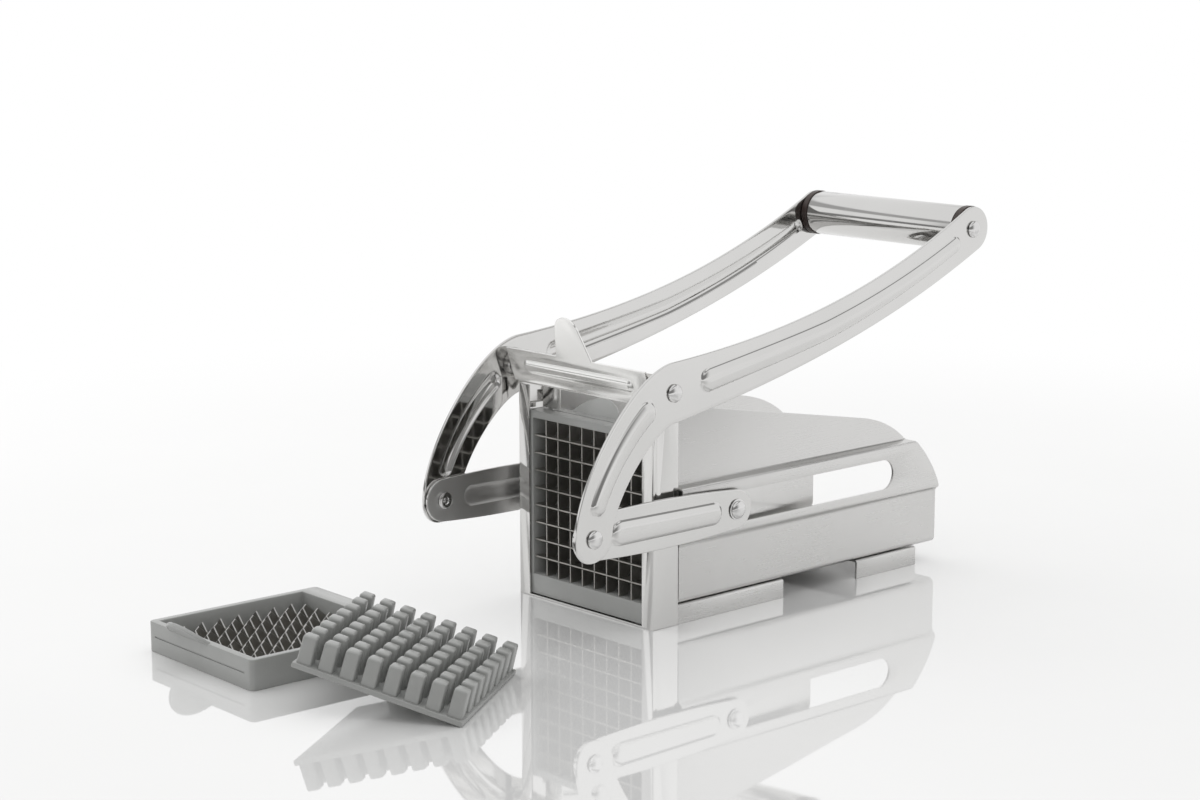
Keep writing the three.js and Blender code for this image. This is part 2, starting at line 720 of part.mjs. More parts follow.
// A blade strip, drawn in (along, depth): flat exit edge at 0 and teeth on the other edge
function bladeStrip(cells, notchFromTeeth) {
  const pitch = gridOpening / cells;
  const end = gridOpening / 2 + pocketDepth;
  const half = gridOpening / 2;
  const lap = stripThick / 2 + seatGap;
  const middle = stripBand / 2;
  const points = [[-end, 0]];
  const laps = Array.from({ length: cells - 1 }, (_, i) => -half + pitch * (i + 1));
  if (!notchFromTeeth) {
    laps.forEach((at) => {
      points.push([at - lap, 0], [at - lap, middle + seatGap / 2],
        [at + lap, middle + seatGap / 2], [at + lap, 0]);
    });
  }
  points.push([end, 0], [end, stripBand], [half, stripBand]);
  for (let i = cells - 1; i >= 0; i -= 1) {
    const low = -half + pitch * i;
    points.push([low + pitch / 2, stripBand + toothHeight]);
    if (i > 0 && notchFromTeeth) {
      points.push([low + lap, stripBand], [low + lap, middle - seatGap / 2],
        [low - lap, middle - seatGap / 2], [low - lap, stripBand]);
    } else {
      points.push([low, stripBand]);
    }
  }
  points.push([-end, stripBand]);
  return outline(points);
}

const standing = new THREE.Matrix4().makeBasis(axisX, axisZ, axisY.clone().negate());
const crossing = new THREE.Matrix4().makeBasis(axisY, axisZ, axisX);

function stripsAcross(cells) {
  const pitch = gridOpening / cells;
  return Array.from({ length: cells - 1 }, (_, i) => push(bladeStrip(cells, true), stripThick)
    .applyMatrix4(standing)
    .translate(0, -gridOpening / 2 + pitch * (i + 1) + stripThick / 2, stripSetback));
}

function stripsAlong(cells) {
  const pitch = gridOpening / cells;
  return Array.from({ length: cells - 1 }, (_, i) => push(bladeStrip(cells, false), stripThick)
    .applyMatrix4(crossing)
    .translate(-gridOpening / 2 + pitch * (i + 1) - stripThick / 2, 0, stripSetback));
}

// Pusher block, drawn flat with its back at 0 and its pegs up
function pusherBlock(cells) {
  const pitch = gridOpening / cells;
  const tall = blockPlate / 2 + pegHeight;
  const corner = (gap) => (pitch - gap) * Math.SQRT1_2;
  const peg = new THREE.CylinderGeometry(corner(pegTipGap), corner(pegRootGap), tall, 4)
    .rotateY(Math.PI / 4).rotateX(Math.PI / 2).translate(0, 0, (blockPlate + tall) / 2);
  const parts = [solid(slab(-blockHalf, blockHalf, -blockHalf, blockHalf, 0, blockPlate))];
  for (let i = 0; i < cells; i += 1) {
    for (let j = 0; j < cells; j += 1) {
      const u = (i - (cells - 1) / 2) * pitch;
      const v = (j - (cells - 1) / 2) * pitch;
      parts.push(solid(peg.clone().translate(u, v, 0)));
    }
  }
  const boss = new THREE.CylinderGeometry(bossRadius, bossRadius, bossLength + blockPlate / 2,
    roundSides);
  boss.rotateX(Math.PI / 2).translate(0, 0, (blockPlate / 2 - bossLength) / 2);
  parts.push(solid(boss));
  return shell(parts.reduce((sum, next) => sum.add(next)));
}

// Pusher carriage: a front plate that carries the block, wings, side flanges and a lower fold

function pusherCarriage() {
  const front = carriageY;
  const back = carriageY + carriageSheet;
  const bottom = channelFloorZ + channelSheet + carriageLift;
  const top = openingMiddleZ + blockHalf;
  const carriageEnd = slideY + carriageTail;
  const plate = slab(-blockHalf, blockHalf, front, back, bottom, top);
  const wings = slab(-carriageHalfWidth, carriageHalfWidth, front, back,
    slideAxisZ - wingHalfHeight, slideAxisZ + wingHalfHeight);
  const side = new THREE.Shape();
  side.moveTo(front, slideAxisZ + wingHalfHeight);
  side.lineTo(front, slideAxisZ - wingHalfHeight);
  side.absarc(carriageEnd - wingCorner, slideAxisZ - wingHalfHeight + wingCorner, wingCorner,
    -Math.PI / 2, 0);
  side.absarc(carriageEnd - wingCorner, slideAxisZ + wingHalfHeight - wingCorner, wingCorner,
    0, Math.PI / 2);
  side.closePath();
  const flange = plateX(side, carriageHalfWidth - carriageSheet, carriageHalfWidth);
  const fold = slab(-blockHalf, blockHalf, front, front + carriageFold,
    bottom, bottom + carriageSheet);
  const bossHole = new THREE.CylinderGeometry(bossRadius + boreGap, bossRadius + boreGap,
    carriageSheet + overrun * 2, roundSides);
  bossHole.translate(0, (front + back) / 2, openingMiddleZ);
  return cut(join(plate, wings, flange, mirrored(join(flange)), fold), bossHole,
    rodX(boltHole, -carriageHalfWidth - overrun, carriageHalfWidth + overrun,
      slideY, slideAxisZ));
}

// Assembly

const cutter = new THREE.Group();
const part = new THREE.Group();
cutter.position.y = -frameDepth / 2;
part.add(cutter);

function add(parent, name, geometry, material) {
  const mesh = new THREE.Mesh(geometry, material);
  mesh.name = name;
  parent.add(mesh);
  return mesh;
}

function addPair(name, geometry, material) {
  add(cutter, `${name}_right`, geometry, material);
  add(cutter, `${name}_left`, mirrored(shell(solid(geometry))), material);
}

function addCassette(parent, name, cells) {
  add(parent, `${name}_cassette`, cassetteFrame(cells), plastic);
  stripsAcross(cells).forEach((strip, i) => {
    add(parent, `${name}_level_blade_${i + 1}`, strip, blade);
  });
  stripsAlong(cells).forEach((strip, i) => {
    add(parent, `${name}_upright_blade_${i + 1}`, strip, blade);
  });
}

add(cutter, 'front_frame', frontFrame(), steel);
add(cutter, 'food_channel', foodChannel(), satin);
add(cutter, 'front_foot', foot(channelStart, channelStart + frontFootLength), satin);
const rearFootEnd = channelEnd - rearFootInset;
add(cutter, 'rear_foot', foot(rearFootEnd - rearFootLength, rearFootEnd), satin);
addPair('handle_arm', handleArm(), steel);
addPair('pivot_rivet', pivotRivet(), steel);
addPair('pivot_spacer', pivotSpacer(), steel);
addPair('crank_rivet', crankRivet(), steel);
addPair('link', link(), steel);
addPair('slide_rivet', slideRivet(), steel);
addPair('slide_bush', slideBush(), plastic);
addPair('slide_pin', slidePin(), steel);
addPair('grip_cap', gripCap(), dark);
add(cutter, 'grip_tube', gripTube(), steel);
add(cutter, 'grip_rod', gripRod(), steel);
add(cutter, 'blade_latch', bladeLatch(), steel);
add(cutter, 'pusher_carriage', pusherCarriage(), satin);

const fineCassette = new THREE.Group();
fineCassette.position.set(0, cassetteExitY, openingMiddleZ);
fineCassette.rotation.x = -Math.PI / 2;
addCassette(fineCassette, 'fine', fineCells);
cutter.add(fineCassette);

const fineBlock = new THREE.Group();
fineBlock.position.set(0, blockBackY, openingMiddleZ);
fineBlock.rotation.x = Math.PI / 2;
add(fineBlock, 'fine_pusher_block', pusherBlock(fineCells), plastic);
cutter.add(fineBlock);

const spareTray = new THREE.Group();
spareTray.position.set(spareTrayX, spareTrayY, 0);
spareTray.rotation.z = radians(spareTrayTurn);
addCassette(spareTray, 'spare', coarseCells);
cutter.add(spareTray);

const spareTurn = new THREE.Group();
spareTurn.position.set(spareBlockX, spareBlockY, 0);
spareTurn.rotation.z = radians(spareBlockTurn);
const spareTilt = new THREE.Group(); // the block leans on its boss
spareTilt.rotation.y = Math.atan2(bossLength, blockHalf - bossRadius);
const spareBlock = add(spareTilt, 'spare_pusher_block', pusherBlock(coarseCells), plastic);
spareBlock.position.x = -blockHalf;
spareTurn.add(spareTilt);
cutter.add(spareTurn);

export default part;
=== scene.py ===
# %% [markdown]
# # A lever cutter for french fries
# The cutter is a small press: a curved handle turns on a steel frame, and its short end pulls two links, which
# drag a block of pegs through a channel against a grid of blades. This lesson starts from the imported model, keeps
# every joint where it is, and dresses it in pressed sheet, turned rivets and moulded plastic.
#
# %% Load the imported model
import json
from bisect import bisect_right
from math import acos, atan2, copysign, cos, hypot, pi, radians, sin, sqrt

import bmesh
import bpy
from mathutils import Matrix, Vector


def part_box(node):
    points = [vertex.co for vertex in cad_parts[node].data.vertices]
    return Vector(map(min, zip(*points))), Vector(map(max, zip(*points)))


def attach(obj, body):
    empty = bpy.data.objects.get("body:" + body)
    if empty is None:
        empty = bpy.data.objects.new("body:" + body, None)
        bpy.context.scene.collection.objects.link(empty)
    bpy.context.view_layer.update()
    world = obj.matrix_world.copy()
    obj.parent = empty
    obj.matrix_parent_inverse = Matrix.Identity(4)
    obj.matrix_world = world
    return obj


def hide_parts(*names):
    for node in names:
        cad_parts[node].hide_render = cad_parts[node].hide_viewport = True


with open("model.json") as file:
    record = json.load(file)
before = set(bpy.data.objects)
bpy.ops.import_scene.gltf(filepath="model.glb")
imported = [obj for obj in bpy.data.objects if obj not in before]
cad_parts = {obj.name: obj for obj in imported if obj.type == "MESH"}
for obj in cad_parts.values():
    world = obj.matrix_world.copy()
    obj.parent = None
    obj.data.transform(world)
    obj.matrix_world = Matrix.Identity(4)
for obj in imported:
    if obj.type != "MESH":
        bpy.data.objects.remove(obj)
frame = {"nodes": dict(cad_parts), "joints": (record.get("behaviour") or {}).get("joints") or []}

MM = 0.001
NEAR, WELD, FINE_WELD = 0.1 * MM, 2e-6, 1e-6
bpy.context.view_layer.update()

# %% [markdown]
# ## Where things are
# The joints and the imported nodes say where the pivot, the crank joint, the grip and the slide are. Reading them
# here keeps the dressed parts on their axes.
#
# %% Read the main axes
joints = {joint["name"]: joint for joint in frame["joints"]}


def middle_of(node):
    low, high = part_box(node)
    return (low + high) / 2


pivot = Vector(joints["handle_lift"]["pos_m"])
crank = Vector(joints["link_swing"]["pos_m"])
grip = middle_of("grip_tube")
slide = middle_of("slide_rivet_right")
front_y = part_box("front_frame")[0].y
for name, place in (("pivot", pivot), ("crank", crank), ("grip", grip), ("slide", slide)):
    print(f"{name}: y {place.y / MM:.1f} mm, z {place.z / MM:.1f} mm")

# %% [markdown]
# ## Camera
# The photograph looks at the front corner from a little above the table, through a long lens, so the channel's
# sides run nearly parallel. The camera stands about one and a quarter metres away.
#
# %% Set up the camera


def new_object(name, data):
    item = bpy.data.objects.new(name, data)
    bpy.context.scene.collection.objects.link(item)
    return item


AZIMUTH, ELEVATION, ROLL = (radians(angle) for angle in (47.948, 10.662, -0.135))
ahead = Vector((-sin(AZIMUTH) * cos(ELEVATION), cos(AZIMUTH) * cos(ELEVATION),
                -sin(ELEVATION)))
level = Vector((cos(AZIMUTH), sin(AZIMUTH), 0))
above = level.cross(ahead)
across = level * cos(ROLL) + above * sin(ROLL)
upward = above * cos(ROLL) - level * sin(ROLL)

camera = new_object("camera", bpy.data.cameras.new("camera"))
camera.matrix_world = Matrix((across, upward, -ahead)).transposed().to_4x4()
camera.location = (0.9420, -0.84755, 0.3484)
camera.data.sensor_fit = "HORIZONTAL"
camera.data.sensor_width = 36
camera.data.lens = 75.79
camera.data.clip_start = 0.05
bpy.context.scene.camera = camera
print("camera at", tuple(round(value, 3) for value in camera.location))

# %% [markdown]
# ## Working by hand in code
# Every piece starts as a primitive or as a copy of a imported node, and is shaped in edit mode by the same operators
# as by hand. They act on what is selected, so these helpers clear the selection first, and then pick points,
# edges or faces by a test.
#
# %% Helpers for object mode and edit mode


def clear():
    if bpy.context.mode != "OBJECT":
        bpy.ops.object.mode_set(mode="OBJECT")
    bpy.ops.object.select_all(action="DESELECT")


def take(piece):
    clear()
    piece.select_set(True)
    bpy.context.view_layer.objects.active = piece
    return piece


def heart(part):
    """The middle of an edge or a face, or a point's own place."""
    points = getattr(part, "verts", None)
    return sum((point.co for point in points), Vector()) / len(points) if points else part.co


class Bench:
    """Edit mode on one piece, for the lines inside a with block."""

    def __init__(self, piece, kind="FACE"):
        self.piece, self.kind = piece, kind

    def __enter__(self):
        take(self.piece)
        bpy.ops.object.mode_set(mode="EDIT")
        bpy.ops.mesh.select_mode(type=self.kind)
        return self

    def __exit__(self, *problem):
        bpy.ops.object.mode_set(mode="OBJECT")

    def pick(self, test=lambda part: True):
        bpy.ops.mesh.select_all(action="DESELECT")
        mesh = bmesh.from_edit_mesh(self.piece.data)
        parts = {"VERT": mesh.verts, "EDGE": mesh.edges, "FACE": mesh.faces}[self.kind]
        chosen = [part for part in parts if test(part)]
        for part in chosen:
            part.select_set(True)
        bmesh.update_edit_mesh(self.piece.data)
        return len(chosen)


def settle(piece):
    """Bring the object to the origin, with its place in its mesh."""
    take(piece)
    bpy.ops.object.transform_apply(location=True, rotation=True, scale=True)
    return piece


def face_out(piece):
    with Bench(piece) as bench:
        bench.pick()
        bpy.ops.mesh.remove_doubles(threshold=FINE_WELD)
        bpy.ops.mesh.normals_make_consistent(inside=False)
    return piece


def modify(piece, kind, **settings):
    take(piece)
    modifier = piece.modifiers.new(kind.lower(), kind)
    for name, value in settings.items():
        setattr(modifier, name, value)
    bpy.ops.object.modifier_apply(modifier=modifier.name)
    return piece


def soften(piece, width, segments=3, angle=50):
    """Round every edge that is sharper than the angle."""
    return modify(piece, "BEVEL", width=width, segments=segments, limit_method="ANGLE",
                  angle_limit=radians(angle), use_clamp_overlap=True)


def smooth(piece, angle=40):
    take(piece)
    bpy.ops.object.shade_smooth_by_angle(angle=radians(angle))
    return piece


def cut_with(piece, tool):
    modify(piece, "BOOLEAN", object=tool, operation="DIFFERENCE", solver="EXACT")
    bpy.data.objects.remove(tool)
    return piece


def join(piece, *others):
    take(piece)
    for other in others:
        other.select_set(True)
    bpy.ops.object.join()
    return piece


print("helpers ready")

# %% [markdown]
# ## Five ways to start a piece
# A box between two corners, a plate from an outline, a flat grid, a turned ring or pin from its profile, and a
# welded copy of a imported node. The plate is a circle whose points move to the outline before it is pushed out,
# and the turned piece is one that is spun. A left piece is a right piece mirrored.
#
# %% Starting shapes


def new_box(low, high):
    clear()
    bpy.ops.mesh.primitive_cube_add(size=1)
    piece = bpy.context.active_object
    piece.location = (Vector(low) + Vector(high)) / 2
    piece.scale = Vector(high) - Vector(low)
    return settle(piece)


def new_plate(points, push):
    clear()
    bpy.ops.mesh.primitive_circle_add(vertices=len(points), fill_type="NGON")
    piece = bpy.context.active_object
    for vertex, point in zip(piece.data.vertices, points):
        vertex.co = point
    with Bench(piece) as bench:
        bench.pick()
        bpy.ops.mesh.extrude_region_move(TRANSFORM_OT_translate={"value": push})
    return face_out(piece)


def new_grid(rows, columns):
    """A flat grid, with the row and the column of each of its points."""
    clear()
    bpy.ops.mesh.primitive_grid_add(x_subdivisions=rows - 1, y_subdivisions=columns - 1, size=2)
    piece = bpy.context.active_object
    return piece, [(round((vertex.co.x + 1) / 2 * (rows - 1)), round((vertex.co.y + 1) / 2 * (columns - 1)))
                   for vertex in piece.data.vertices]


def new_turned(profile, axis_y, axis_z, steps=64):
    """The profile lists (x, radius) in metres round a closed outline."""
    clear()
    bpy.ops.mesh.primitive_circle_add(vertices=len(profile), fill_type="NOTHING")
    piece = bpy.context.active_object
    for vertex, (x, radius) in zip(piece.data.vertices, profile):
        vertex.co = (x, axis_y, axis_z + radius)
    with Bench(piece, "EDGE") as bench:
        bench.pick()
        bpy.ops.mesh.spin(steps=steps, angle=2 * pi, center=(0, axis_y, axis_z), axis=(1, 0, 0))
        bpy.ops.mesh.select_all(action="SELECT")
        bpy.ops.mesh.remove_doubles(threshold=WELD)
        bpy.ops.mesh.select_all(action="SELECT")
        bpy.ops.mesh.delete_loose(use_verts=True, use_edges=True, use_faces=False)
    return face_out(piece)


def new_copy(node):
    """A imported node's skin as one welded body with whole faces."""
    piece = new_object(node + "_skin", frame["nodes"][node].data.copy())
    with Bench(piece) as bench:
        bench.pick()
        bpy.ops.mesh.remove_doubles(threshold=WELD)
        bpy.ops.mesh.select_all(action="SELECT")
        bpy.ops.mesh.dissolve_limited(angle_limit=radians(1))
    return piece


def new_mirror(piece):
    """The same piece for the other side, with a mesh of its own."""
    other = new_object(piece.name + "_other", piece.data.copy())
    other.data.transform(Matrix.Scale(-1, 4, Vector((1, 0, 0))))
    other.data.flip_normals()
    return other


def hand_over(piece, name, body, slot, finish, *nodes):
    """Name a finished piece, paint it and fasten it to the body that carries it."""
    settle(piece)
    piece.name = piece.data.name = name
    piece.data.materials.clear()
    piece.data.materials.append(finish)
    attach(piece, body)
    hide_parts(*nodes)
    print(f"{name}: {len(piece.data.polygons)} faces, rides on {body}")
    return piece


def both_sides(right, name, body, slot, finish, node):
    """Hand over a right piece and its mirror image."""
    sides = (right, "_right"), (new_mirror(right), "_left")
    return [hand_over(piece, name + side, body, slot, finish, node + side) for piece, side in sides]


print("starting shapes ready")

# %% [markdown]
# ## Shader sums as plain expressions
# A finish is easier to read when a mask is written as `1 - mask` and a blend as `a * mask`. Wire wraps one output
# of a node, and its operators add the Math nodes that they stand for. Nodes adds any other node to a tree, and
# Finish is a material that starts with one principled shader.
#
# %% A wrapper for shader sockets


class Wire:
    def __init__(self, nodes, socket):
        self.nodes, self.socket = nodes, socket

    def math(self, operation, *values):
        return self.nodes.node("Math", dict(enumerate((self, *values))), {"operation": operation})

    def __add__(self, other):
        return self.math("ADD", other)

    def __sub__(self, other):
        return self.math("SUBTRACT", other)

    def __mul__(self, other):
        return self.math("MULTIPLY", other)

    def __rsub__(self, other):
        return self.nodes.node("Math", {0: other, 1: self}, {"operation": "SUBTRACT"})

    __radd__ = __add__

    def above(self, edge, spread):
        """0 below the edge, 1 above it, with a soft step as wide as the spread."""
        return self.nodes.node("MapRange", {
            "Value": self, "From Min": edge - spread / 2, "From Max": edge + spread / 2},
            {"interpolation_type": "SMOOTHSTEP"})


class Nodes:
    """A node tree under construction."""

    def __init__(self, tree):
        self.tree = tree

    def node(self, kind, sockets=None, settings=None, output=0):
        made = self.tree.nodes.new("ShaderNode" + kind)
        for name, value in (settings or {}).items():
            setattr(made, name, value)
        for name, value in (sockets or {}).items():
            if isinstance(value, Wire):
                self.tree.links.new(value.socket, made.inputs[name])
            else:
                made.inputs[name].default_value = value
        return Wire(self, made.outputs[output])

    def axes(self, vector):
        split = self.node("SeparateXYZ", {0: vector}).socket.node
        return [Wire(self, output) for output in split.outputs]

    def tint(self, mask, low, high):
        return self.node("Mix", {"Factor": mask, 6: (*low, 1), 7: (*high, 1)}, {"data_type": "RGBA"}, 2)


class Finish(Nodes):
    """A material with one principled shader."""

    def __init__(self, name):
        self.material = bpy.data.materials.new(name)
        self.material.use_nodes = True
        super().__init__(self.material.node_tree)
        self.shader = self.tree.nodes["Principled BSDF"]
        self.place = self.node("TexCoord", output="Object")

    def grain(self, scale, stretch=(1, 1, 1), detail=4, seed=0.0):
        """Noise on the piece itself, with about as many grains to the metre as the scale says."""
        laid = self.node("Mapping", {"Vector": self.place, "Scale": stretch,
                                     "Location": (seed, seed * 2.3, seed * 0.7)})
        return self.node("TexNoise", {"Vector": laid, "Scale": scale, "Detail": detail, "Roughness": 0.55})

    def shade(self, color, roughness, bump=None, bump_depth=0.0, bump_strength=0.0, **fixed):
        """fixed holds plain numbers for the shader's own sockets, such as metallic=1.0."""
        for name, value in fixed.items():
            self.shader.inputs[name.replace("_", " ").title().replace("Ior", "IOR")].default_value = value
        self.tree.links.new(color.socket, self.shader.inputs["Base Color"])
        self.tree.links.new(roughness.socket, self.shader.inputs["Roughness"])
        if bump is not None:
            raised = self.node("Bump", {"Height": bump, "Strength": bump_strength, "Distance": bump_depth})
            self.tree.links.new(raised.socket, self.shader.inputs["Normal"])
        print("finish:", self.material.name, "with", len(self.tree.nodes), "nodes")
        return self.material


# %% [markdown]
# ## Polished stainless sheet
# The arms, frame and grip are buffed to a mirror. Buffing leaves hair-fine lines along the wheel's path, a slight
# swell in the sheet, and a few duller smudges from handling. The latch is the same steel, brushed softer and
# lighter, and the links' inner faces keep the dull skin that they were rolled with.
#
# %% Mirror finish

def polished_steel(name, dullness=0.0, relief=0.15, low=(0.635, 0.63, 0.62), high=(0.70, 0.695, 0.685)):
    finish = Finish(name)
    swell = finish.grain(30, detail=1)
    smudge = finish.grain(70, detail=5, seed=3.1).above(0.58, 0.22)
    hair = finish.grain(2600, stretch=(1, 0.05, 0.35), detail=3, seed=1.7)
    fine = finish.grain(5200, stretch=(0.3, 1, 0.06), detail=2, seed=5.2)
    return finish.shade(finish.tint(finish.grain(18, detail=3, seed=7.0), low, high),
                        (0.07 + dullness) + smudge * 0.06 + (hair - 0.5) * 0.06,
                        swell * 0.3 + hair * 0.012 + fine * 0.008,
                        bump_depth=0.0006, bump_strength=relief, metallic=1.0)


mirror = polished_steel("polished_steel_finish")
brushed = polished_steel("latch_steel_finish", 0.12, 0.03, (0.84, 0.835, 0.82), (0.92, 0.915, 0.90))
rolled = polished_steel("inner_face_finish", 0.36)

# %% [markdown]
# ## Satin stainless sheet
# The channel, its feet and the carriage keep a satin grain along the channel, which spreads reflections into soft
# bands. Noise stretched far along one direction drives the roughness and a very shallow bump.
#
# %% Satin finish
finish = Finish("satin_steel_finish")
grain = finish.grain(2400, stretch=(1, 0.02, 1), seed=2.0)
cloud = finish.grain(26, seed=4.4)
satin = finish.shade(finish.tint(cloud * 0.6 + grain * 0.4, (0.63, 0.625, 0.615), (0.72, 0.715, 0.705)),
                     0.20 + grain * 0.12 + cloud * 0.06, grain * 0.03 + cloud * 0.25,
                     bump_depth=0.0004, bump_strength=0.15, metallic=1.0)

# %% [markdown]
# ## Turned rivets
# Rivet heads are bright steel with fine tool marks, drawn as an even grain with a little dirt caught in it.
#
# %% Rivet finish
finish = Finish("rivet_steel_finish")
speck = finish.grain(1800, detail=3, seed=8.0)
stain = finish.grain(300, detail=5, seed=9.0).above(0.6, 0.2)
rivet = finish.shade(finish.tint(stain, (0.70, 0.695, 0.69), (0.56, 0.555, 0.55)),
                     0.09 + stain * 0.14 + (speck - 0.5) * 0.06, speck,
                     bump_depth=0.00003, bump_strength=0.3, metallic=1.0)

# %% [markdown]
# ## Moulded grey plastic
# The cassettes and pusher blocks are hard nylon in a cool mid grey. Their mould leaves a fine pebble that dulls
# the shine, and the colour clouds a little where the plastic flowed.
#
# %% Grey plastic finish
finish = Finish("grey_plastic_finish")
pebble = finish.grain(3800, detail=2, seed=1.0)
flow = finish.grain(55, stretch=(1, 1, 1.6), seed=6.0)
speck = finish.grain(900, detail=2, seed=2.5).above(0.68, 0.08)
plastic = finish.shade(finish.tint(flow, (0.325, 0.330, 0.320), (0.385, 0.389, 0.378)),
                       0.17 + pebble * 0.12 - flow * 0.06 + speck * 0.06, pebble + flow * 0.6,
                       bump_depth=0.00008, bump_strength=0.18, specular_ior_level=0.75)

# %% [markdown]
# ## Dark grip rings
# Each end of the grip tube sits in a ring of the same hard plastic, dark brown, almost black. It is moulded
# smoother and shows faint rings from turning.
#
# %% Dark plastic finish
finish = Finish("dark_plastic_finish")
cloud = finish.grain(160, seed=3.0)
turned = finish.grain(2600, stretch=(1, 0.1, 0.1), detail=2, seed=4.0)
dark = finish.shade(finish.tint(cloud, (0.022, 0.014, 0.011), (0.050, 0.032, 0.026)),
                    0.26 + turned * 0.14, turned, bump_depth=0.00004, bump_strength=0.3)

# %% [markdown]
# ## Ground blade strips
# The blades are thin strips punched into a zigzag. The toothed edge is ground bright, and the flat of the strip
# stays dull. The finish knows the tooth pitch, where the teeth start, and their height, and brightens a band
# below that zigzag line. Every strip direction gets its own version.
#
# %% Blade finish
TOOTH, STRIP_BAND, SETBACK = 4.6 * MM, 5.5 * MM, 1.3 * MM
OPENING = 83.7 * MM


def blade_steel(name, cells, along, depth, start, middle, turn=0.0):
    """along and depth are axis numbers; start is where the strips' flat edge lies on the depth axis."""
    finish = Finish(name)
    axes = finish.axes(finish.node("VectorRotate", {
        "Vector": finish.place, "Center": middle, "Angle": -turn}, {"rotation_type": "Z_AXIS"}))
    pitch = OPENING / cells
    run = axes[along] - middle[along] + OPENING / 2
    wave = run.math("PINGPONG", pitch / 2) * (2 / pitch) * TOOTH
    below = wave - (axes[depth] - (start + STRIP_BAND))
    ground = 1 - below.above(0.45 * MM, 0.2 * MM)
    streak = finish.grain(3000, detail=2, seed=2.0)
    dull = finish.tint(finish.grain(240, seed=5.0), (0.34, 0.325, 0.30), (0.52, 0.51, 0.485))
    color = finish.node("Mix", {"Factor": ground, 6: dull, 7: (0.56, 0.555, 0.54, 1)}, {"data_type": "RGBA"}, 2)
    return finish.shade(color, 0.38 - ground * 0.06 + streak * 0.1, streak,
                        bump_depth=0.00003, bump_strength=0.3, metallic=1.0)


CASSETTE_SIDE, CASSETTE_BASE, CASSETTE_TOP, CASSETTE_DEPTH = 3.8 * MM, 10.8 * MM, 4 * MM, 15.1 * MM
FRAME_SHEET = 1.3 * MM
exit_y = front_y + FRAME_SHEET
opening_z = FRAME_SHEET + CASSETTE_BASE + OPENING / 2
tray_place = Vector((-44.1 * MM, front_y - 159.5 * MM, 0))
tray_turn = radians(-1.4)
fine_at = Vector((0, exit_y, opening_z))
blades = {
    "fine_level": blade_steel("fine_level_blades", 9, 0, 1, exit_y + SETBACK, fine_at),
    "fine_upright": blade_steel("fine_upright_blades", 9, 2, 1, exit_y + SETBACK, fine_at),
    "spare_level": blade_steel("spare_level_blades", 8, 0, 2, SETBACK, tray_place, tray_turn),
    "spare_upright": blade_steel("spare_upright_blades", 8, 1, 2, SETBACK, tray_place, tray_turn),
}
for node, item in frame["nodes"].items():
    kind = node.rsplit("_blade_", 1)[0]
    if kind in blades:
        item.data.materials.clear()
        item.data.materials.append(blades[kind])

# %% [markdown]
# ## Pressed straps
# Each arm is one strap of sheet that bends over the pivot, wide at the joints and slim between them, with two
# beads that stiffen it and draw the lines of light along it. A grid is laid along the strap's middle line, closer
# at the foot of a bead, and its points are pressed out. Extruding that skin gives the sheet its thickness, with
# the hollow of each bead on the back.
#
# %% A line with a width


class Strap:
    """A line in the (y, z) plane with a half width at every place along it."""

    def __init__(self, stations):
        self.stations, self.marks = stations, [0.0]
        for before, after in zip(stations, stations[1:]):
            self.marks.append(self.marks[-1] + (after[0] - before[0]).length)
        self.length = self.marks[-1]

    def at(self, distance):
        place = min(max(distance, 0.0), self.length)
        i = min(bisect_right(self.marks, place), len(self.marks) - 1)
        before, after = self.stations[i - 1], self.stations[i]
        share = (place - self.marks[i - 1]) / (self.marks[i] - self.marks[i - 1])
        run = before[1].lerp(after[1], share).normalized()
        half = before[2] + (after[2] - before[2]) * share
        point = before[0].lerp(after[0], share) + run * (distance - place)
        beyond = abs(distance - place)
        return point, run, half, sqrt(max(half * half - beyond * beyond, 0.0))


def bezier(points, share):
    keep = 1 - share
    a, b, c, d = points
    return a * keep ** 3 + b * 3 * keep ** 2 * share + c * 3 * keep * share ** 2 + d * share ** 3


def bezier_run(points, share):
    keep = 1 - share
    a, b, c, d = points
    return ((b - a) * keep ** 2 + (c - b) * 2 * keep * share + (d - c) * share ** 2).normalized()


def bow(a, b, c, share):
    return (1 - share) ** 2 * a + 2 * share * (1 - share) * b + share ** 2 * c


# %% [markdown]
# ### Pressing
# A bead is a stadium on the strap, with a start and an end along the line and a radius at each. How far a point
# lies inside it decides how far the point is pressed out. The rise is quickest at the foot, which keeps that line
# crisp, and levels out towards the middle.
#
# %% Press a strap
SHEET, BEAD, RIM = 1.6 * MM, 1.8 * MM, 0.35 * MM
ROW, FOOT_ROW, FOOT_ROWS, CAP_ROWS = 1.2 * MM, 0.3 * MM, 24, 14


def bead_radius(beads, distance):
    """The bead's radius at a distance along the strap, held or blended where there is no bead."""
    marks = [mark for start, end, first, last in beads for mark in ((start, first), (end, last))]
    if distance <= marks[0][0]:
        return marks[0][1]
    for (a, first), (b, last) in zip(marks, marks[1:]):
        if distance <= b:
            return first + (last - first) * (distance - a) / (b - a)
    return marks[-1][1]


def inside_bead(beads, distance, offset):
    best = -1.0
    for start, end, first, last in beads:
        place = min(max(distance, start), end)
        radius = first + (last - first) * (place - start) / (end - start)
        best = max(best, radius - hypot(distance - place, offset))
    return best


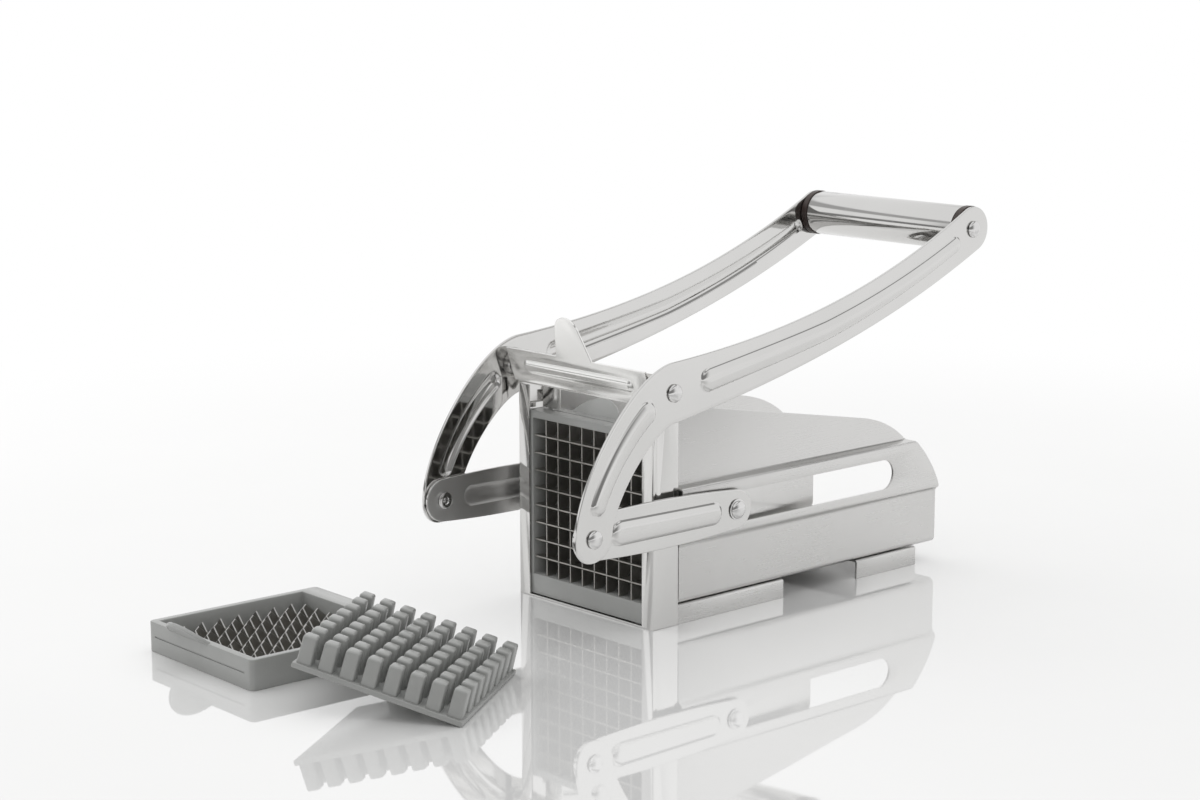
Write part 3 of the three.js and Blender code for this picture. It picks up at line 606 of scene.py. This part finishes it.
def strap_rows(strap, beads):
    """Distances along the strap, closer round its own and the beads' ends."""
    first, last = strap.stations[0][2], strap.stations[-1][2]
    rows = [i * ROW for i in range(int(strap.length / ROW) + 1)] + [strap.length]
    for k in range(CAP_ROWS):
        turn = cos(pi / 2 * k / CAP_ROWS)
        rows += [-first * turn, strap.length + last * turn]
    for start, end, first, last in beads:
        rows += [start - first + i * FOOT_ROW for i in range(FOOT_ROWS)]
        rows += [end + last - i * FOOT_ROW for i in range(FOOT_ROWS)]
    kept = []
    for row in sorted(rows):
        if not kept or row - kept[-1] > 0.12 * MM:
            kept.append(row)
    return kept


def strap_columns(radius, half, edge):
    """Offsets from the middle line to the rim, close together at the bead's foot and at the rim."""
    top, foot = max(radius - edge, 0.0), radius
    out = [top * share for share in (0, 0.35, 0.7)]
    out += [top + (foot - top) * share for share in (0, 0.25, 0.5, 0.7, 0.82, 0.91, 0.96, 1)]
    reach = half - RIM - foot - 0.3 * MM
    out += [foot + 0.3 * MM + reach * k / 5 for k in range(6)]
    return out + [half - RIM * share for share in (0.6, 0.25, 0.06, 0)]


def press_strap(strap, beads, face, edge, holes, shift=lambda row: 0.0):
    """shift(row) moves the bead sideways off the strap's middle line; the rims stay where they are."""
    rows = strap_rows(strap, beads)
    count = len(strap_columns(5 * MM, 12 * MM, edge))
    piece, places = new_grid(len(rows), 2 * count - 1)
    depth = piece.data.attributes.new("depth", "FLOAT", "POINT")
    rim = piece.data.attributes.new("rim", "FLOAT", "POINT")
    for vertex, (i, j) in zip(piece.data.vertices, places):
        j -= count - 1
        point, run, half, reach = strap.at(rows[i])
        column = strap_columns(bead_radius(beads, rows[i]), half, edge)[abs(j)]
        offset = copysign(column * reach / half, j)
        beyond = max(-rows[i], rows[i] - strap.length, 0.0)
        drift = shift(rows[i]) * (1 - (offset / half) ** 2)
        side = point + Vector((-run.y, run.x)) * (offset + drift)
        depth.data[vertex.index].value = inside_bead(beads, rows[i], offset)
        rim.data[vertex.index].value = half - hypot(offset, beyond)
        vertex.co = (face, side.x, side.y)
    return thicken_strap(piece, face, edge, holes)


def bead_rise(deep, edge):
    """The share of a bead's height at a depth inside its foot: a short steep foot under a wide dome."""
    rise = [sin(pi / 2 * min(max(deep / reach, 0.0), 1.0)) for reach in (1.3 * MM, edge)]
    return 0.42 * rise[0] + 0.58 * rise[1]


def thicken_strap(piece, face, edge, holes):
    """Cut the holes and give the skin its thickness; the bead's hollow is half a sheet narrower."""
    with Bench(piece) as bench:
        bench.pick()
        bpy.ops.mesh.remove_doubles(threshold=WELD)
        bench.pick(lambda part: any((heart(part).yz - Vector(at)).length < radius for at, radius in holes))
        bpy.ops.mesh.delete(type="FACE")
        bench.pick()
        bpy.ops.mesh.extrude_region_move(TRANSFORM_OT_translate={"value": (-SHEET, 0, 0)})
    mesh = piece.data
    depth, rim = mesh.attributes["depth"].data, mesh.attributes["rim"].data
    for vertex in mesh.vertices:
        back = vertex.co.x < face - SHEET / 2
        raised = BEAD * bead_rise(depth[vertex.index].value - (SHEET / 2 if back else 0), edge)
        short = max(RIM - rim[vertex.index].value, 0.0)
        rounded = RIM - sqrt(max(RIM * RIM - short * short, 0.0))
        vertex.co.x = face - SHEET + raised + rounded if back else face + raised - rounded
        for at, radius in holes:
            reach = vertex.co.yz - Vector(at)
            if reach.length < radius + 0.5 * MM:
                reach = Vector(at) + reach.normalized() * radius
                vertex.co.y, vertex.co.z = reach.x, reach.y
    face_out(piece)
    for name in ("depth", "rim"):
        piece.data.attributes.remove(piece.data.attributes[name])
    return smooth(piece)


print("pressing tools ready")

# %% [markdown]
# ## Handle arms
# The lower limb falls in a tight curve from the pivot to the crank joint, and the upper limb sweeps back in a
# long shallow curve to the grip. Both leave the pivot in one line, so a single strap follows them.
#
# %% Press the two arms
BORE, ROD_BORE = 3.0 * MM, 3.3 * MM
LOWER_STEPS, UPPER_STEPS = 60, 120
LOWER_HALF, UPPER_HALF = (15.3, 12, 12), (15.3, 9.6, 12.3)
hub, joint, end = pivot.yz, crank.yz, grip.yz
drop, third = hub.y - joint.y, (end.x - hub.x) / 3
lower = [hub, hub + Vector((-drop * 0.31, -drop * 0.31 * 0.12)), joint + Vector((drop * 0.01, drop * 0.36)), joint]
upper = [hub, hub + Vector((third, third * 0.12)), end - Vector((third, third * 0.5)), end]
stations = [(bezier(lower, share), -bezier_run(lower, share), bow(*LOWER_HALF, share) * MM)
            for share in (k / LOWER_STEPS for k in range(LOWER_STEPS, 0, -1))]
stations += [(bezier(upper, share), bezier_run(upper, share), bow(*UPPER_HALF, share) * MM)
             for share in (k / UPPER_STEPS for k in range(UPPER_STEPS + 1))]
arm = Strap(stations)
hub_row = arm.marks[LOWER_STEPS]
arm_beads = [(arm.marks[12], arm.marks[44], 4.9 * MM, 6.0 * MM),
             (arm.marks[LOWER_STEPS + 13], arm.marks[LOWER_STEPS + 112], 6.2 * MM, 4.4 * MM)]
arm_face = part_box("handle_arm_right")[1].x - BEAD
arm_holes = [(hub, BORE), (joint, BORE), (end, ROD_BORE)]


def arm_shift(row):
    """The lower bead lies a little in front of the middle line, the upper one above it at first."""
    if row < hub_row:
        return 1.3 * MM * min((hub_row - row) / (18 * MM), 1)
    return 1.6 * MM * sin(pi * min((row - hub_row) / (110 * MM), 1))


right_arm = press_strap(arm, arm_beads, arm_face, 4.8 * MM, arm_holes, arm_shift)
both_sides(right_arm, "arm_sheet", "handle", "polished_steel", mirror, "handle_arm")

# %% [markdown]
# ## Links
# A link is a short straight strap inside the arm, with one wide bead that is almost a half round. The same press
# makes it from another line, other widths and another bead. The faces that look inwards get the duller rolled
# finish.
#
# %% Press the two links
start, end = crank.yz, slide.yz
link = Strap([(start.lerp(end, k / 40), (end - start).normalized(), bow(11.3, 14.4, 10.3, k / 40) * MM)
              for k in range(41)])
link_beads = [(19 * MM, link.length - 17 * MM, 6.4 * MM, 5.9 * MM)]
link_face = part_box("link_right")[1].x - BEAD
right_link = press_strap(link, link_beads, link_face, 4.6 * MM, [(crank.yz, BORE), (slide.yz, BORE)])
links = both_sides(right_link, "link_sheet", "links", "polished_steel", mirror, "link")
for sheet, inward in zip(links, (-1, 1)):
    sheet.data.materials.append(rolled)
    for part in sheet.data.polygons:
        part.material_index = int(part.normal.x * inward > 0.3)

# %% [markdown]
# ## Rivets, pins and bushes
# All of these are closed profiles, spun about axes that run from side to side. A rivet head is a low dome with a
# small flat round its rim, and the pivot rivet's tail is a plain collar.
#
# %% Profiles for turned pieces, and the pivot rivets
HEAD, HEAD_HIGH, SHANK, TAIL = 4.6, 2.2, 2.7, 4.4


def mm(place, *points):
    """Points of a profile in millimetres, with x counted from a place in metres."""
    return [(place + x * MM, radius * MM) for x, radius in points]


def head(seat):
    """A domed head from its rim at the seat out to its crown on the axis."""
    dome = [(0.4 + (HEAD_HIGH - 0.4) * sin(turn), HEAD * cos(turn)) for turn in (pi / 20 * k for k in range(1, 10))]
    return mm(seat, (0, HEAD - 0.25), (0.12, HEAD - 0.05), (0.4, HEAD), *dome, (HEAD_HIGH, 0))


def pair(profile, axis, body, slot, finish, node, name=None, steps=64):
    piece = smooth(new_turned(profile, axis.y, axis.z, steps))
    both_sides(piece, name or node + "_turned", body, slot, finish, node)


def shank(node):
    """Where a turned node starts and ends, and where its head would sit."""
    low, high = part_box(node)
    return low.x, high.x, high.x - HEAD_HIGH * MM


inner, crown, seat = shank("pivot_rivet_right")
pair([*mm(inner, (0, 0), (0, 4), (0.3, TAIL), (1.2, TAIL), (1.2, SHANK)), *mm(seat, (0, SHANK)), *head(seat)],
     pivot, "base", "rivet_steel", rivet, "pivot_rivet")

# %% [markdown]
# ### Crank rivets
# The crank rivet's tail is hollow: it was flared over when the joint was closed, and the hole still shows from
# inside.
#
# %% Crank rivets with hollow tails
inner, crown, seat = shank("crank_rivet_right")
pair([*mm(inner, (3, 0), (3, 1.5), (0.5, 1.6), (0, 2), (0, 3.6), (0.35, 4.3), (0.8, TAIL), (1.2, 4.2),
          (1.2, SHANK)), *mm(seat, (0, SHANK)), *head(seat)],
     crank, "handle", "rivet_steel", rivet, "crank_rivet")

# %% [markdown]
# ### Slide joints
# A slide rivet ties the link to a pin of the carriage. The pin runs in a flanged plastic bush, and the bush runs
# in the channel's slot. At the pivots a spacer keeps the arm clear of the frame.
#
# %% Slide rivets, bushes, pins and spacers
FLANGE, BARREL = 9.4, 7.75
inner, crown, seat = shank("slide_rivet_right")
pair([*mm(inner, (0, 0), (0, SHANK)), *mm(seat, (-0.5, SHANK), (-0.5, 5.2), (-0.35, 5.4), (-0.1, 5.4), (0, 5.2)),
      *head(seat)], slide, "links", "rivet_steel", rivet, "slide_rivet")

inner, crown, seat = shank("slide_bush_right")
pair([*mm(inner, (0, 3), (0, FLANGE - 0.3), (0.3, FLANGE), (1.3, FLANGE), (1.6, FLANGE - 0.3), (1.6, BARREL)),
      *mm(crown, (-0.4, BARREL), (0, BARREL - 0.4), (0, 3))],
     slide, "pusher", "grey_plastic", plastic, "slide_bush")

inner, crown, seat = shank("slide_pin_right")
domed = [(2 * inner + HEAD_HIGH * MM - x, radius) for x, radius in head(inner)]
pair([*reversed(domed), *mm(inner, (HEAD_HIGH, SHANK)), *mm(crown, (0, SHANK), (0, 0))],
     slide, "pusher", "rivet_steel", rivet, "slide_pin")

inner, crown, seat = shank("pivot_spacer_right")
pair([*mm(inner, (0, 3.3), (0, 6.2), (0.3, 6.5)), *mm(crown, (-0.3, 6.5), (0, 6.2), (0, 3.3), (-0.3, 3)),
      *mm(inner, (0.3, 3))], pivot, "base", "rivet_steel", rivet, "pivot_spacer")

# %% [markdown]
# ## Grip
# The grip is a thin steel tube between the arms, held by a rod that is headed over outside each arm. The tube's
# ends are rolled in a little, and a dark plastic ring spaces each end from the arm.
#
# %% Turn the tube, the rings and the rod
inner, crown, seat = shank("grip_tube")
half_tube = mm(crown, (-0.5, 12.3), (-0.15, 12.15), (0, 11.8), (0, 11.1))
tube = new_turned([*[(-x, radius) for x, radius in reversed(half_tube)], *half_tube], grip.y, grip.z, 128)
hand_over(smooth(tube), "grip_tube_rolled", "handle", "polished_steel", mirror, "grip_tube")

inner, crown, seat = shank("grip_cap_right")
pair([*mm(inner, (0, 3.3), (0, 10.5), (0.3, 10.8)),
      *mm(crown, (-4, 10.8), (-4, 12.2), (-3.6, 12.6), (-0.4, 12.6), (0, 12.2), (0, 3.3))],
     grip, "handle", "dark_plastic", dark, "grip_cap", "grip_ring", 96)

inner, crown, seat = shank("grip_rod")
end = [*mm(seat, (0, 3)), *head(seat)]
rod = new_turned([*[(-x, radius) for x, radius in reversed(end)], *end], grip.y, grip.z)
hand_over(smooth(rod), "grip_rod_headed", "handle", "rivet_steel", rivet, "grip_rod")

# %% [markdown]
# ## Front frame
# Two posts are folded from thin sheet round the ends of the cassette, and a floor joins them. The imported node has
# the right form, so its welded copy gets two kinds of corner: a wide round on the folds, and a fine one on the
# sheared edges.
#
# %% Round the frame's folds and edges


def folded(node, name, body, slot, finish, folds, fold_width, edge_width=0.18 * MM, steps=4, reshape=None):
    piece = new_copy(node)
    if reshape:
        reshape(piece)
    if folds:
        with Bench(piece, "EDGE") as bench:
            chosen = bench.pick(folds)
            bpy.ops.mesh.bevel(offset=fold_width, segments=steps, affect="EDGES", clamp_overlap=True)
            print(f"{name}: {chosen} fold edges rounded")
    if edge_width:
        soften(piece, edge_width, 2, 40)
    return hand_over(smooth(piece), name, body, slot, finish, node)


low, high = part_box("front_frame")


def frame_fold(part):
    """The posts' outer corners, and the outer edges of the floor."""
    at, span = heart(part), part.verts[0].co - part.verts[1].co
    post = abs(span.z) > 20 * MM and min(abs(at.y - low.y), abs(at.y - high.y)) < NEAR
    floor = abs(span.y) > 5 * MM and at.z < NEAR
    return abs(abs(at.x) - high.x) < NEAR and (post or floor)


folded("front_frame", "frame_sheet", "base", "polished_steel", mirror, frame_fold, 1.1 * MM)

# %% [markdown]
# ## Food channel
# The channel is one bent sheet: floor, walls, a band that stands out on each side to carry the slot, and a guard
# above it. Half of it is drawn as a plane for the floor, whose outer edge is extruded up, out and in again. The
# bends are bevelled while the sheet has no thickness, which keeps each one a clean round, and then a mirror and a
# wall thickness follow.
#
# %% Bend the channel
low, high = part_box("food_channel")
guard_x, band_x = 45.6 * MM, high.x
wall_x, band_low, band_high = band_x - 3 * MM, 41 * MM, 70.6 * MM
clear()
bpy.ops.mesh.primitive_plane_add(size=1)
channel = bpy.context.active_object
channel.scale = (wall_x, high.y - low.y, 1)
channel.location = (wall_x / 2, (low.y + high.y) / 2, low.z)
settle(channel)
corner = Vector((wall_x, low.z))
turns = [(wall_x, band_low), (band_x, band_low + 1.6 * MM), (band_x, band_high), (guard_x, band_high),
         (guard_x, high.z + 1 * MM)]
with Bench(channel, "EDGE") as bench:
    for x, z in turns:
        bench.pick(lambda part: (Vector((heart(part).x, heart(part).z)) - corner).length < 1e-5)
        bpy.ops.mesh.extrude_region_move(TRANSFORM_OT_translate={"value": (x - corner.x, 0, z - corner.y)})
        corner = Vector((x, z))
    bends = [((wall_x, low.z), 3.4), ((wall_x, band_low), 1.7), ((band_x, band_low + 1.6 * MM), 1.5),
             ((band_x, band_high), 1.8), ((guard_x, band_high), 1.1)]
    for (x, z), width in bends:
        bench.pick(lambda part: (heart(part) - Vector((x, (low.y + high.y) / 2, z))).length < 1e-5)
        bpy.ops.mesh.bevel(offset=width * MM, segments=5, affect="EDGES")
modify(channel, "MIRROR", use_axis=(True, False, False), use_mirror_merge=True, merge_threshold=FINE_WELD)
face_out(channel)
inward = sum(1 for part in channel.data.polygons if part.normal.z > 0.9 and part.center.z < low.z + 1e-4)
modify(channel, "SOLIDIFY", thickness=1.2 * MM, offset=1 if inward else -1, use_even_offset=True)
face_out(channel)
print("channel sheet:", len(channel.data.polygons), "faces, floor facing up:", bool(inward))

# %% [markdown]
# ### Outline and slots
# Seen from the side, the guards fall in two soft curves towards the rear, and the wall's rear end is rounded off.
# Plates drawn across the sheet cut this outline and the slots.
#
# %% Cut its outline and slots
REACH, CLEAR = 60 * MM, 9 * MM


def curve(start, pull, end, steps=18):
    start, pull, end = Vector(start), Vector(pull), Vector(end)
    return [bow(start, pull, end, k / steps) for k in range(1, steps + 1)]


def cut_across(piece, outline):
    cut_with(piece, new_plate([(-REACH, y, z) for y, z in outline], (2 * REACH, 0, 0)))


slope_rise, tail_rise, rear = 16.3 * MM, 27.6 * MM, high.y
guard_end, slope_end, slope_z = low.y + 177.2 * MM, low.y + 142 * MM, band_high + slope_rise
outline = [Vector((rear + 1 * MM, band_low)), Vector((rear - 0.4 * MM, band_low + 2 * MM))]
outline += curve(outline[-1], (rear - (rear - guard_end) * 0.26, band_low + 2 * MM + tail_rise * 0.5),
                 (guard_end, band_high))
outline += curve(outline[-1], (slope_end + (guard_end - slope_end) * 0.62, slope_z - slope_rise * 0.24),
                 (slope_end, slope_z))
outline += [(low.y, high.z), (low.y - 1 * MM, high.z), (low.y - 1 * MM, high.z + CLEAR),
            (rear + CLEAR, high.z + CLEAR), (rear + CLEAR, band_low)]
cut_across(channel, outline)
slot_radius, slot_back = 8.25 * MM, slide.y + 115.3 * MM
arc = [(slot_radius * sin(pi * k / 20), slot_radius * cos(pi * k / 20)) for k in range(21)]
cut_across(channel, [(slide.y - out, slide.z + up) for out, up in arc]
           + [(slot_back + out, slide.z - up) for out, up in arc])
soften(channel, 0.15 * MM, 2)
hand_over(smooth(channel, 35), "channel_sheet", "base", "satin_steel", satin, "food_channel")

# %% [markdown]
# ## Feet and carriage
# The feet are plain bent brackets. The carriage is a folded plate that carries the pusher block and slides between
# the walls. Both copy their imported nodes, and the feet get round folds.
#
# %% Dress the feet and the carriage


def foot_fold(part):
    at, span = heart(part), part.verts[0].co - part.verts[1].co
    return abs(span.y) > 20 * MM and at.z > 9 * MM and abs(at.x) > 50 * MM


for node in ("front_foot", "rear_foot"):
    folded(node, node + "_sheet", "base", "satin_steel", satin, foot_fold, 1.5 * MM)

folded("pusher_carriage", "carriage_sheet", "pusher", "satin_steel", satin, None, 0)

# %% [markdown]
# ## Latch
# The latch turns on the handle's pivots and holds the cassette down. Its panel has a thumb tab and one long bead,
# its most visible line: a window is cut out of the copied panel, and a grid with its columns close together at
# the bead's foot is pressed, thickened and joined into it.
#
# %% Press the latch's bead
BEAD_HALF, BEAD_RADIUS, BEAD_HEIGHT, BEAD_EDGE = 37.8 * MM, 3.6 * MM, 1.4 * MM, 2.6 * MM
PANEL, PANEL_MIDDLE, PANEL_FOOT, PANEL_LEAN = 1.2 * MM, 9.2 * MM, 115.5 * MM, radians(18)
window_half, window_rise = 43 * MM, 5.2 * MM
latch_frame = Matrix.Translation((0, front_y - 0.3 * MM, PANEL_FOOT)) @ Matrix.Rotation(PANEL_LEAN, 4, "X")


def bead_lines():
    """Grid lines along the panel and up it."""
    top = BEAD_RADIUS - BEAD_EDGE
    half = [top * share for share in (0, 0.5)] + [top + BEAD_EDGE * k / 8 for k in range(9)]
    half += [BEAD_RADIUS + (window_rise - BEAD_RADIUS) * k / 3 for k in (1, 2, 3)]
    rise = [-line for line in reversed(half[1:])] + half
    end = [BEAD_HALF + (window_half - BEAD_HALF) * k / 20 for k in range(21)]
    run = [-line for line in reversed(end)] + [BEAD_HALF * k / 12 for k in range(-11, 12)] + end
    return run, rise


def pressed_bead(piece):
    run, rise = bead_lines()
    insert, places = new_grid(len(run), len(rise))
    for vertex, (i, j) in zip(insert.data.vertices, places):
        vertex.co = (run[i], -PANEL, rise[j])
    with Bench(insert) as bench:
        bench.pick()
        bpy.ops.mesh.extrude_region_move(TRANSFORM_OT_translate={"value": (0, PANEL, 0)})
    for vertex in insert.data.vertices:
        inset = 0.7 * MM if vertex.co.y > -PANEL / 2 else 0
        deep = BEAD_RADIUS - hypot(max(abs(vertex.co.x) - BEAD_HALF, 0), vertex.co.z) - inset
        vertex.co.y -= BEAD_HEIGHT * sin(pi / 2 * min(max(deep / BEAD_EDGE, 0), 1))
        vertex.co.z += PANEL_MIDDLE
    face_out(insert)
    insert.data.transform(latch_frame)
    window = new_box((-window_half, -4 * MM, PANEL_MIDDLE - window_rise),
                     (window_half, 2 * MM, PANEL_MIDDLE + window_rise))
    window.data.transform(latch_frame)
    cut_with(piece, window)
    join(piece, insert)


def latch_edge(part):
    """A sheared edge of the latch, and not the rim of the window."""
    at = latch_frame.inverted() @ heart(part)
    inside = abs(at.x) < window_half + NEAR and abs(at.z - PANEL_MIDDLE) < window_rise + NEAR
    return part.calc_face_angle(0) > radians(60) and not (inside and abs(at.y) < 4 * MM)


folded("blade_latch", "latch_sheet", "latch", "polished_steel", brushed, latch_edge, 0.18 * MM, 0, 2,
       pressed_bead)

# %% [markdown]
# ## Cassette bodies
# A cassette is a moulded frame round the blade grid. The wall under the grid is deeper than the others, and the
# opposite wall has a scored line and a finger tab that leans out for lifting. The body is a box with rounded
# uprights, opened by a square cutter, and all its rims are rounded as a mould would leave them.
#
# %% Mould one cassette body


def cassette_body():
    half = OPENING / 2
    wide, south, north = half + CASSETTE_SIDE, -half - CASSETTE_TOP, half + CASSETTE_BASE
    body = new_box((-wide, south, 0), (wide, north, CASSETTE_DEPTH))
    with Bench(body, "EDGE") as bench:
        bench.pick(lambda part: abs(part.verts[0].co.z - part.verts[1].co.z) > 5 * MM)
        bpy.ops.mesh.bevel(offset=2.6 * MM, segments=6, affect="EDGES")
    cut_with(body, new_box((-half, -half, -MM), (half, half, CASSETTE_DEPTH + MM)))
    soften(body, 0.45 * MM)
    groove = CASSETTE_DEPTH / 2
    cut_with(body, new_box((-wide + 6 * MM, south - MM, groove),
                           (wide - 6 * MM, south + 0.5 * MM, groove + 0.8 * MM)))
    return body, south


def finger_tab(south):
    radius, rise, thick, lean = 20 * MM, 12 * MM, 2 * MM, radians(48)
    spread = acos(1 - rise / radius)
    turns = [spread * (1 - k / 16) for k in range(33)]
    tab = new_plate([(radius * sin(turn), 0, rise - radius + radius * cos(turn)) for turn in turns], (0, thick, 0))
    tab.matrix_world = (Matrix.Translation((-9 * MM, south + thick / 2, CASSETTE_DEPTH - thick))
                        @ Matrix.Rotation(lean, 4, "X"))
    return soften(settle(tab), 0.5 * MM)


body, south = cassette_body()
smooth(join(body, finger_tab(south)))
spare_body = new_object("spare_body", body.data.copy())
body.data.transform(Matrix.Translation(fine_at) @ Matrix.Rotation(-pi / 2, 4, "X"))
spare_body.data.transform(Matrix.Translation(tray_place) @ Matrix.Rotation(tray_turn, 4, "Z"))
hand_over(body, "fine_cassette_body", "base", "grey_plastic", plastic, "fine_cassette")
hand_over(spare_body, "spare_cassette_body", "base", "grey_plastic", plastic, "spare_cassette")

# %% [markdown]
# ## Pusher blocks
# A pusher block carries one peg for every opening of its grid. Each peg tapers towards a well rounded tip, so
# that it leaves the mould. One peg is shaped from a cube, and two array modifiers repeat it over the plate.
#
# %% Mould the blocks
PLATE, PEG, BOSS, BOSS_HIGH = 2.6 * MM, 13.4 * MM, 7 * MM, 9.5 * MM
block_half = OPENING / 2 - 0.35 * MM


def pusher_block(cells):
    pitch = OPENING / cells
    root, tip = (pitch - 3.2 * MM) / 2, (pitch - 4 * MM) / 2
    peg = new_box((-root, -root, PLATE / 2), (root, root, PLATE + PEG))
    with Bench(peg) as bench:
        bench.pick(lambda part: part.normal.z > 0.9)
        bpy.ops.transform.resize(value=(tip / root, tip / root, 1))
    soften(peg, 1.15 * MM)
    start = -(cells - 1) / 2 * pitch
    peg.data.transform(Matrix.Translation((start, start, 0)))
    for step in ((pitch, 0, 0), (0, pitch, 0)):
        modify(peg, "ARRAY", count=cells, use_relative_offset=False, use_constant_offset=True,
               constant_offset_displace=step)
    plate = soften(new_box((-block_half, -block_half, 0), (block_half, block_half, PLATE)), 0.5 * MM)
    clear()
    bpy.ops.mesh.primitive_cylinder_add(vertices=64, radius=BOSS, depth=BOSS_HIGH + PLATE / 2,
                                        location=(0, 0, (PLATE / 2 - BOSS_HIGH) / 2))
    boss = soften(settle(bpy.context.active_object), 0.6 * MM)
    return smooth(join(plate, peg, boss))


fine_block = pusher_block(9)
back_y = front_y + 29.7 * MM
fine_block.data.transform(Matrix.Translation((0, back_y, opening_z)) @ Matrix.Rotation(pi / 2, 4, "X"))
hand_over(fine_block, "fine_block_moulded", "pusher", "grey_plastic", plastic, "fine_pusher_block")
spare_block = pusher_block(8)
tilt = atan2(BOSS_HIGH, block_half - BOSS)
spare_block.data.transform(Matrix.Translation((84.3 * MM, front_y - 133.6 * MM, 0))
                           @ Matrix.Rotation(radians(33.2), 4, "Z") @ Matrix.Rotation(tilt, 4, "Y")
                           @ Matrix.Translation((-block_half, 0, 0)))
hand_over(spare_block, "spare_block_moulded", "base", "grey_plastic", plastic, "spare_pusher_block")

# %% [markdown]
# ## Table
# The cutter stands on a white sheet under a clear coat, which mirrors it. Far from the cutter the sheet fades to
# plain white for the camera, so that the table and the backdrop meet without a line, and the reflections and
# shadows stay close to the cutter.
#
# %% Lay the table
WHITE = (1, 1, 1, 1)
clear()
bpy.ops.mesh.primitive_plane_add(size=8, location=(0, 0.5, 0))
table = settle(bpy.context.active_object)
table.name = "table_top"
surface = Finish("table_gloss")
east, north, _ = surface.axes(surface.place)
far = (east * east + (north - 0.05) * (north - 0.05)).math("SQRT").above(0.62, 0.5)
cloud = surface.grain(9, detail=3, seed=1.5)
surface.shade(surface.tint(cloud, (0.90, 0.90, 0.895), (0.93, 0.93, 0.925)), 0.01 + cloud * 0.03,
              specular_ior_level=1.0, ior=2.1, coat_weight=0.5, coat_roughness=0.02, coat_ior=1.8)
seen = surface.node("LightPath", output="Is Camera Ray")
mirrored = surface.node("LightPath", output="Is Glossy Ray")
plain = surface.node("Emission", {"Color": WHITE, "Strength": 1.0})
mixed = surface.node("MixShader", {
    0: seen.math("MAXIMUM", mirrored) * far, 1: Wire(surface, surface.shader.outputs[0]), 2: plain})
surface.tree.links.new(mixed.socket, surface.tree.nodes["Material Output"].inputs["Surface"])
table.data.materials.append(surface.material)

# %% [markdown]
# ## Light
# Polished steel shows its surroundings more than itself. The room is white to the camera, and for reflections a
# few dim panels stand in it: one low behind the camera, two on the left and one high on the right. They draw the
# dark lines along tubes and beads. Three large soft lamps add shape.
#
# %% Build the room
world = bpy.data.worlds.new("studio")
bpy.context.scene.world = world
world.use_nodes = True
room = Nodes(world.node_tree)
room.tree.nodes.clear()
eastward, northward, height = room.axes(room.node("TexCoord", output="Generated"))


def towards(east, north):
    """1 in one compass direction, -1 in the opposite one."""
    return eastward * east + northward * north


def shelf(low, high, soft=0.05):
    """1 between two heights, 0 outside them."""
    return height.above(low, soft) * (1 - height.above(high, soft))


def background(color, strength):
    return room.node("Background", {"Color": color, "Strength": strength})


camera_side = towards(sin(AZIMUTH), -cos(AZIMUTH)).above(0.45, 0.5)
left_side = towards(-cos(AZIMUTH), -sin(AZIMUTH)).above(0.35, 0.5)
right_side = towards(cos(AZIMUTH), sin(AZIMUTH)).above(0.2, 0.5)
dim = camera_side * (1 - height.above(0.45, 0.3)) * 0.85
for panel in (left_side * shelf(-0.2, 0.1) * 0.85, left_side * shelf(0.34, 0.50) * 0.6,
              right_side * shelf(0.62, 0.80) * 0.75):
    dim = dim.math("MAXIMUM", panel)
mirrored_room = background(room.tint(dim, (1.0, 1.0, 1.0), (0.13, 0.128, 0.125)), 0.97)
soft_room, white = background(WHITE, 0.60), background(WHITE, 1.0)
glossy_ray = room.node("LightPath", output="Is Glossy Ray")
camera_ray = room.node("LightPath", output="Is Camera Ray")
lighting = room.node("MixShader", {0: glossy_ray, 1: soft_room, 2: mirrored_room})
both = room.node("MixShader", {0: camera_ray, 1: lighting, 2: white})
room.tree.links.new(both.socket, room.tree.nodes.new("ShaderNodeOutputWorld").inputs["Surface"])


def lamp(name, place, size, power):
    light = bpy.data.lights.new(name, "AREA")
    light.shape, light.size, light.size_y, light.energy = "RECTANGLE", size[0], size[1], power
    item = new_object(name, light)
    item.location = place
    item.visible_glossy = False
    item.rotation_euler = (Vector((0, 0.05, 0.08)) - Vector(place)).to_track_quat("-Z", "Y").to_euler()
    print(f"lamp {name}: {power} W over {size[0]} by {size[1]} m")


lamp("lamp_top", (-0.1, 0.2, 1.5), (2.0, 2.0), 10)
lamp("lamp_right", (1.6, 0.9, 1.0), (1.4, 1.0), 2)
lamp("lamp_left", (-1.5, -0.7, 0.9), (2.0, 1.2), 10)

# %% [markdown]
# ## The end
# The last cell sets the view transform and finishes the scene.
#
# %% Settings and the end
bpy.context.scene.view_settings.view_transform = "Standard"
clear()
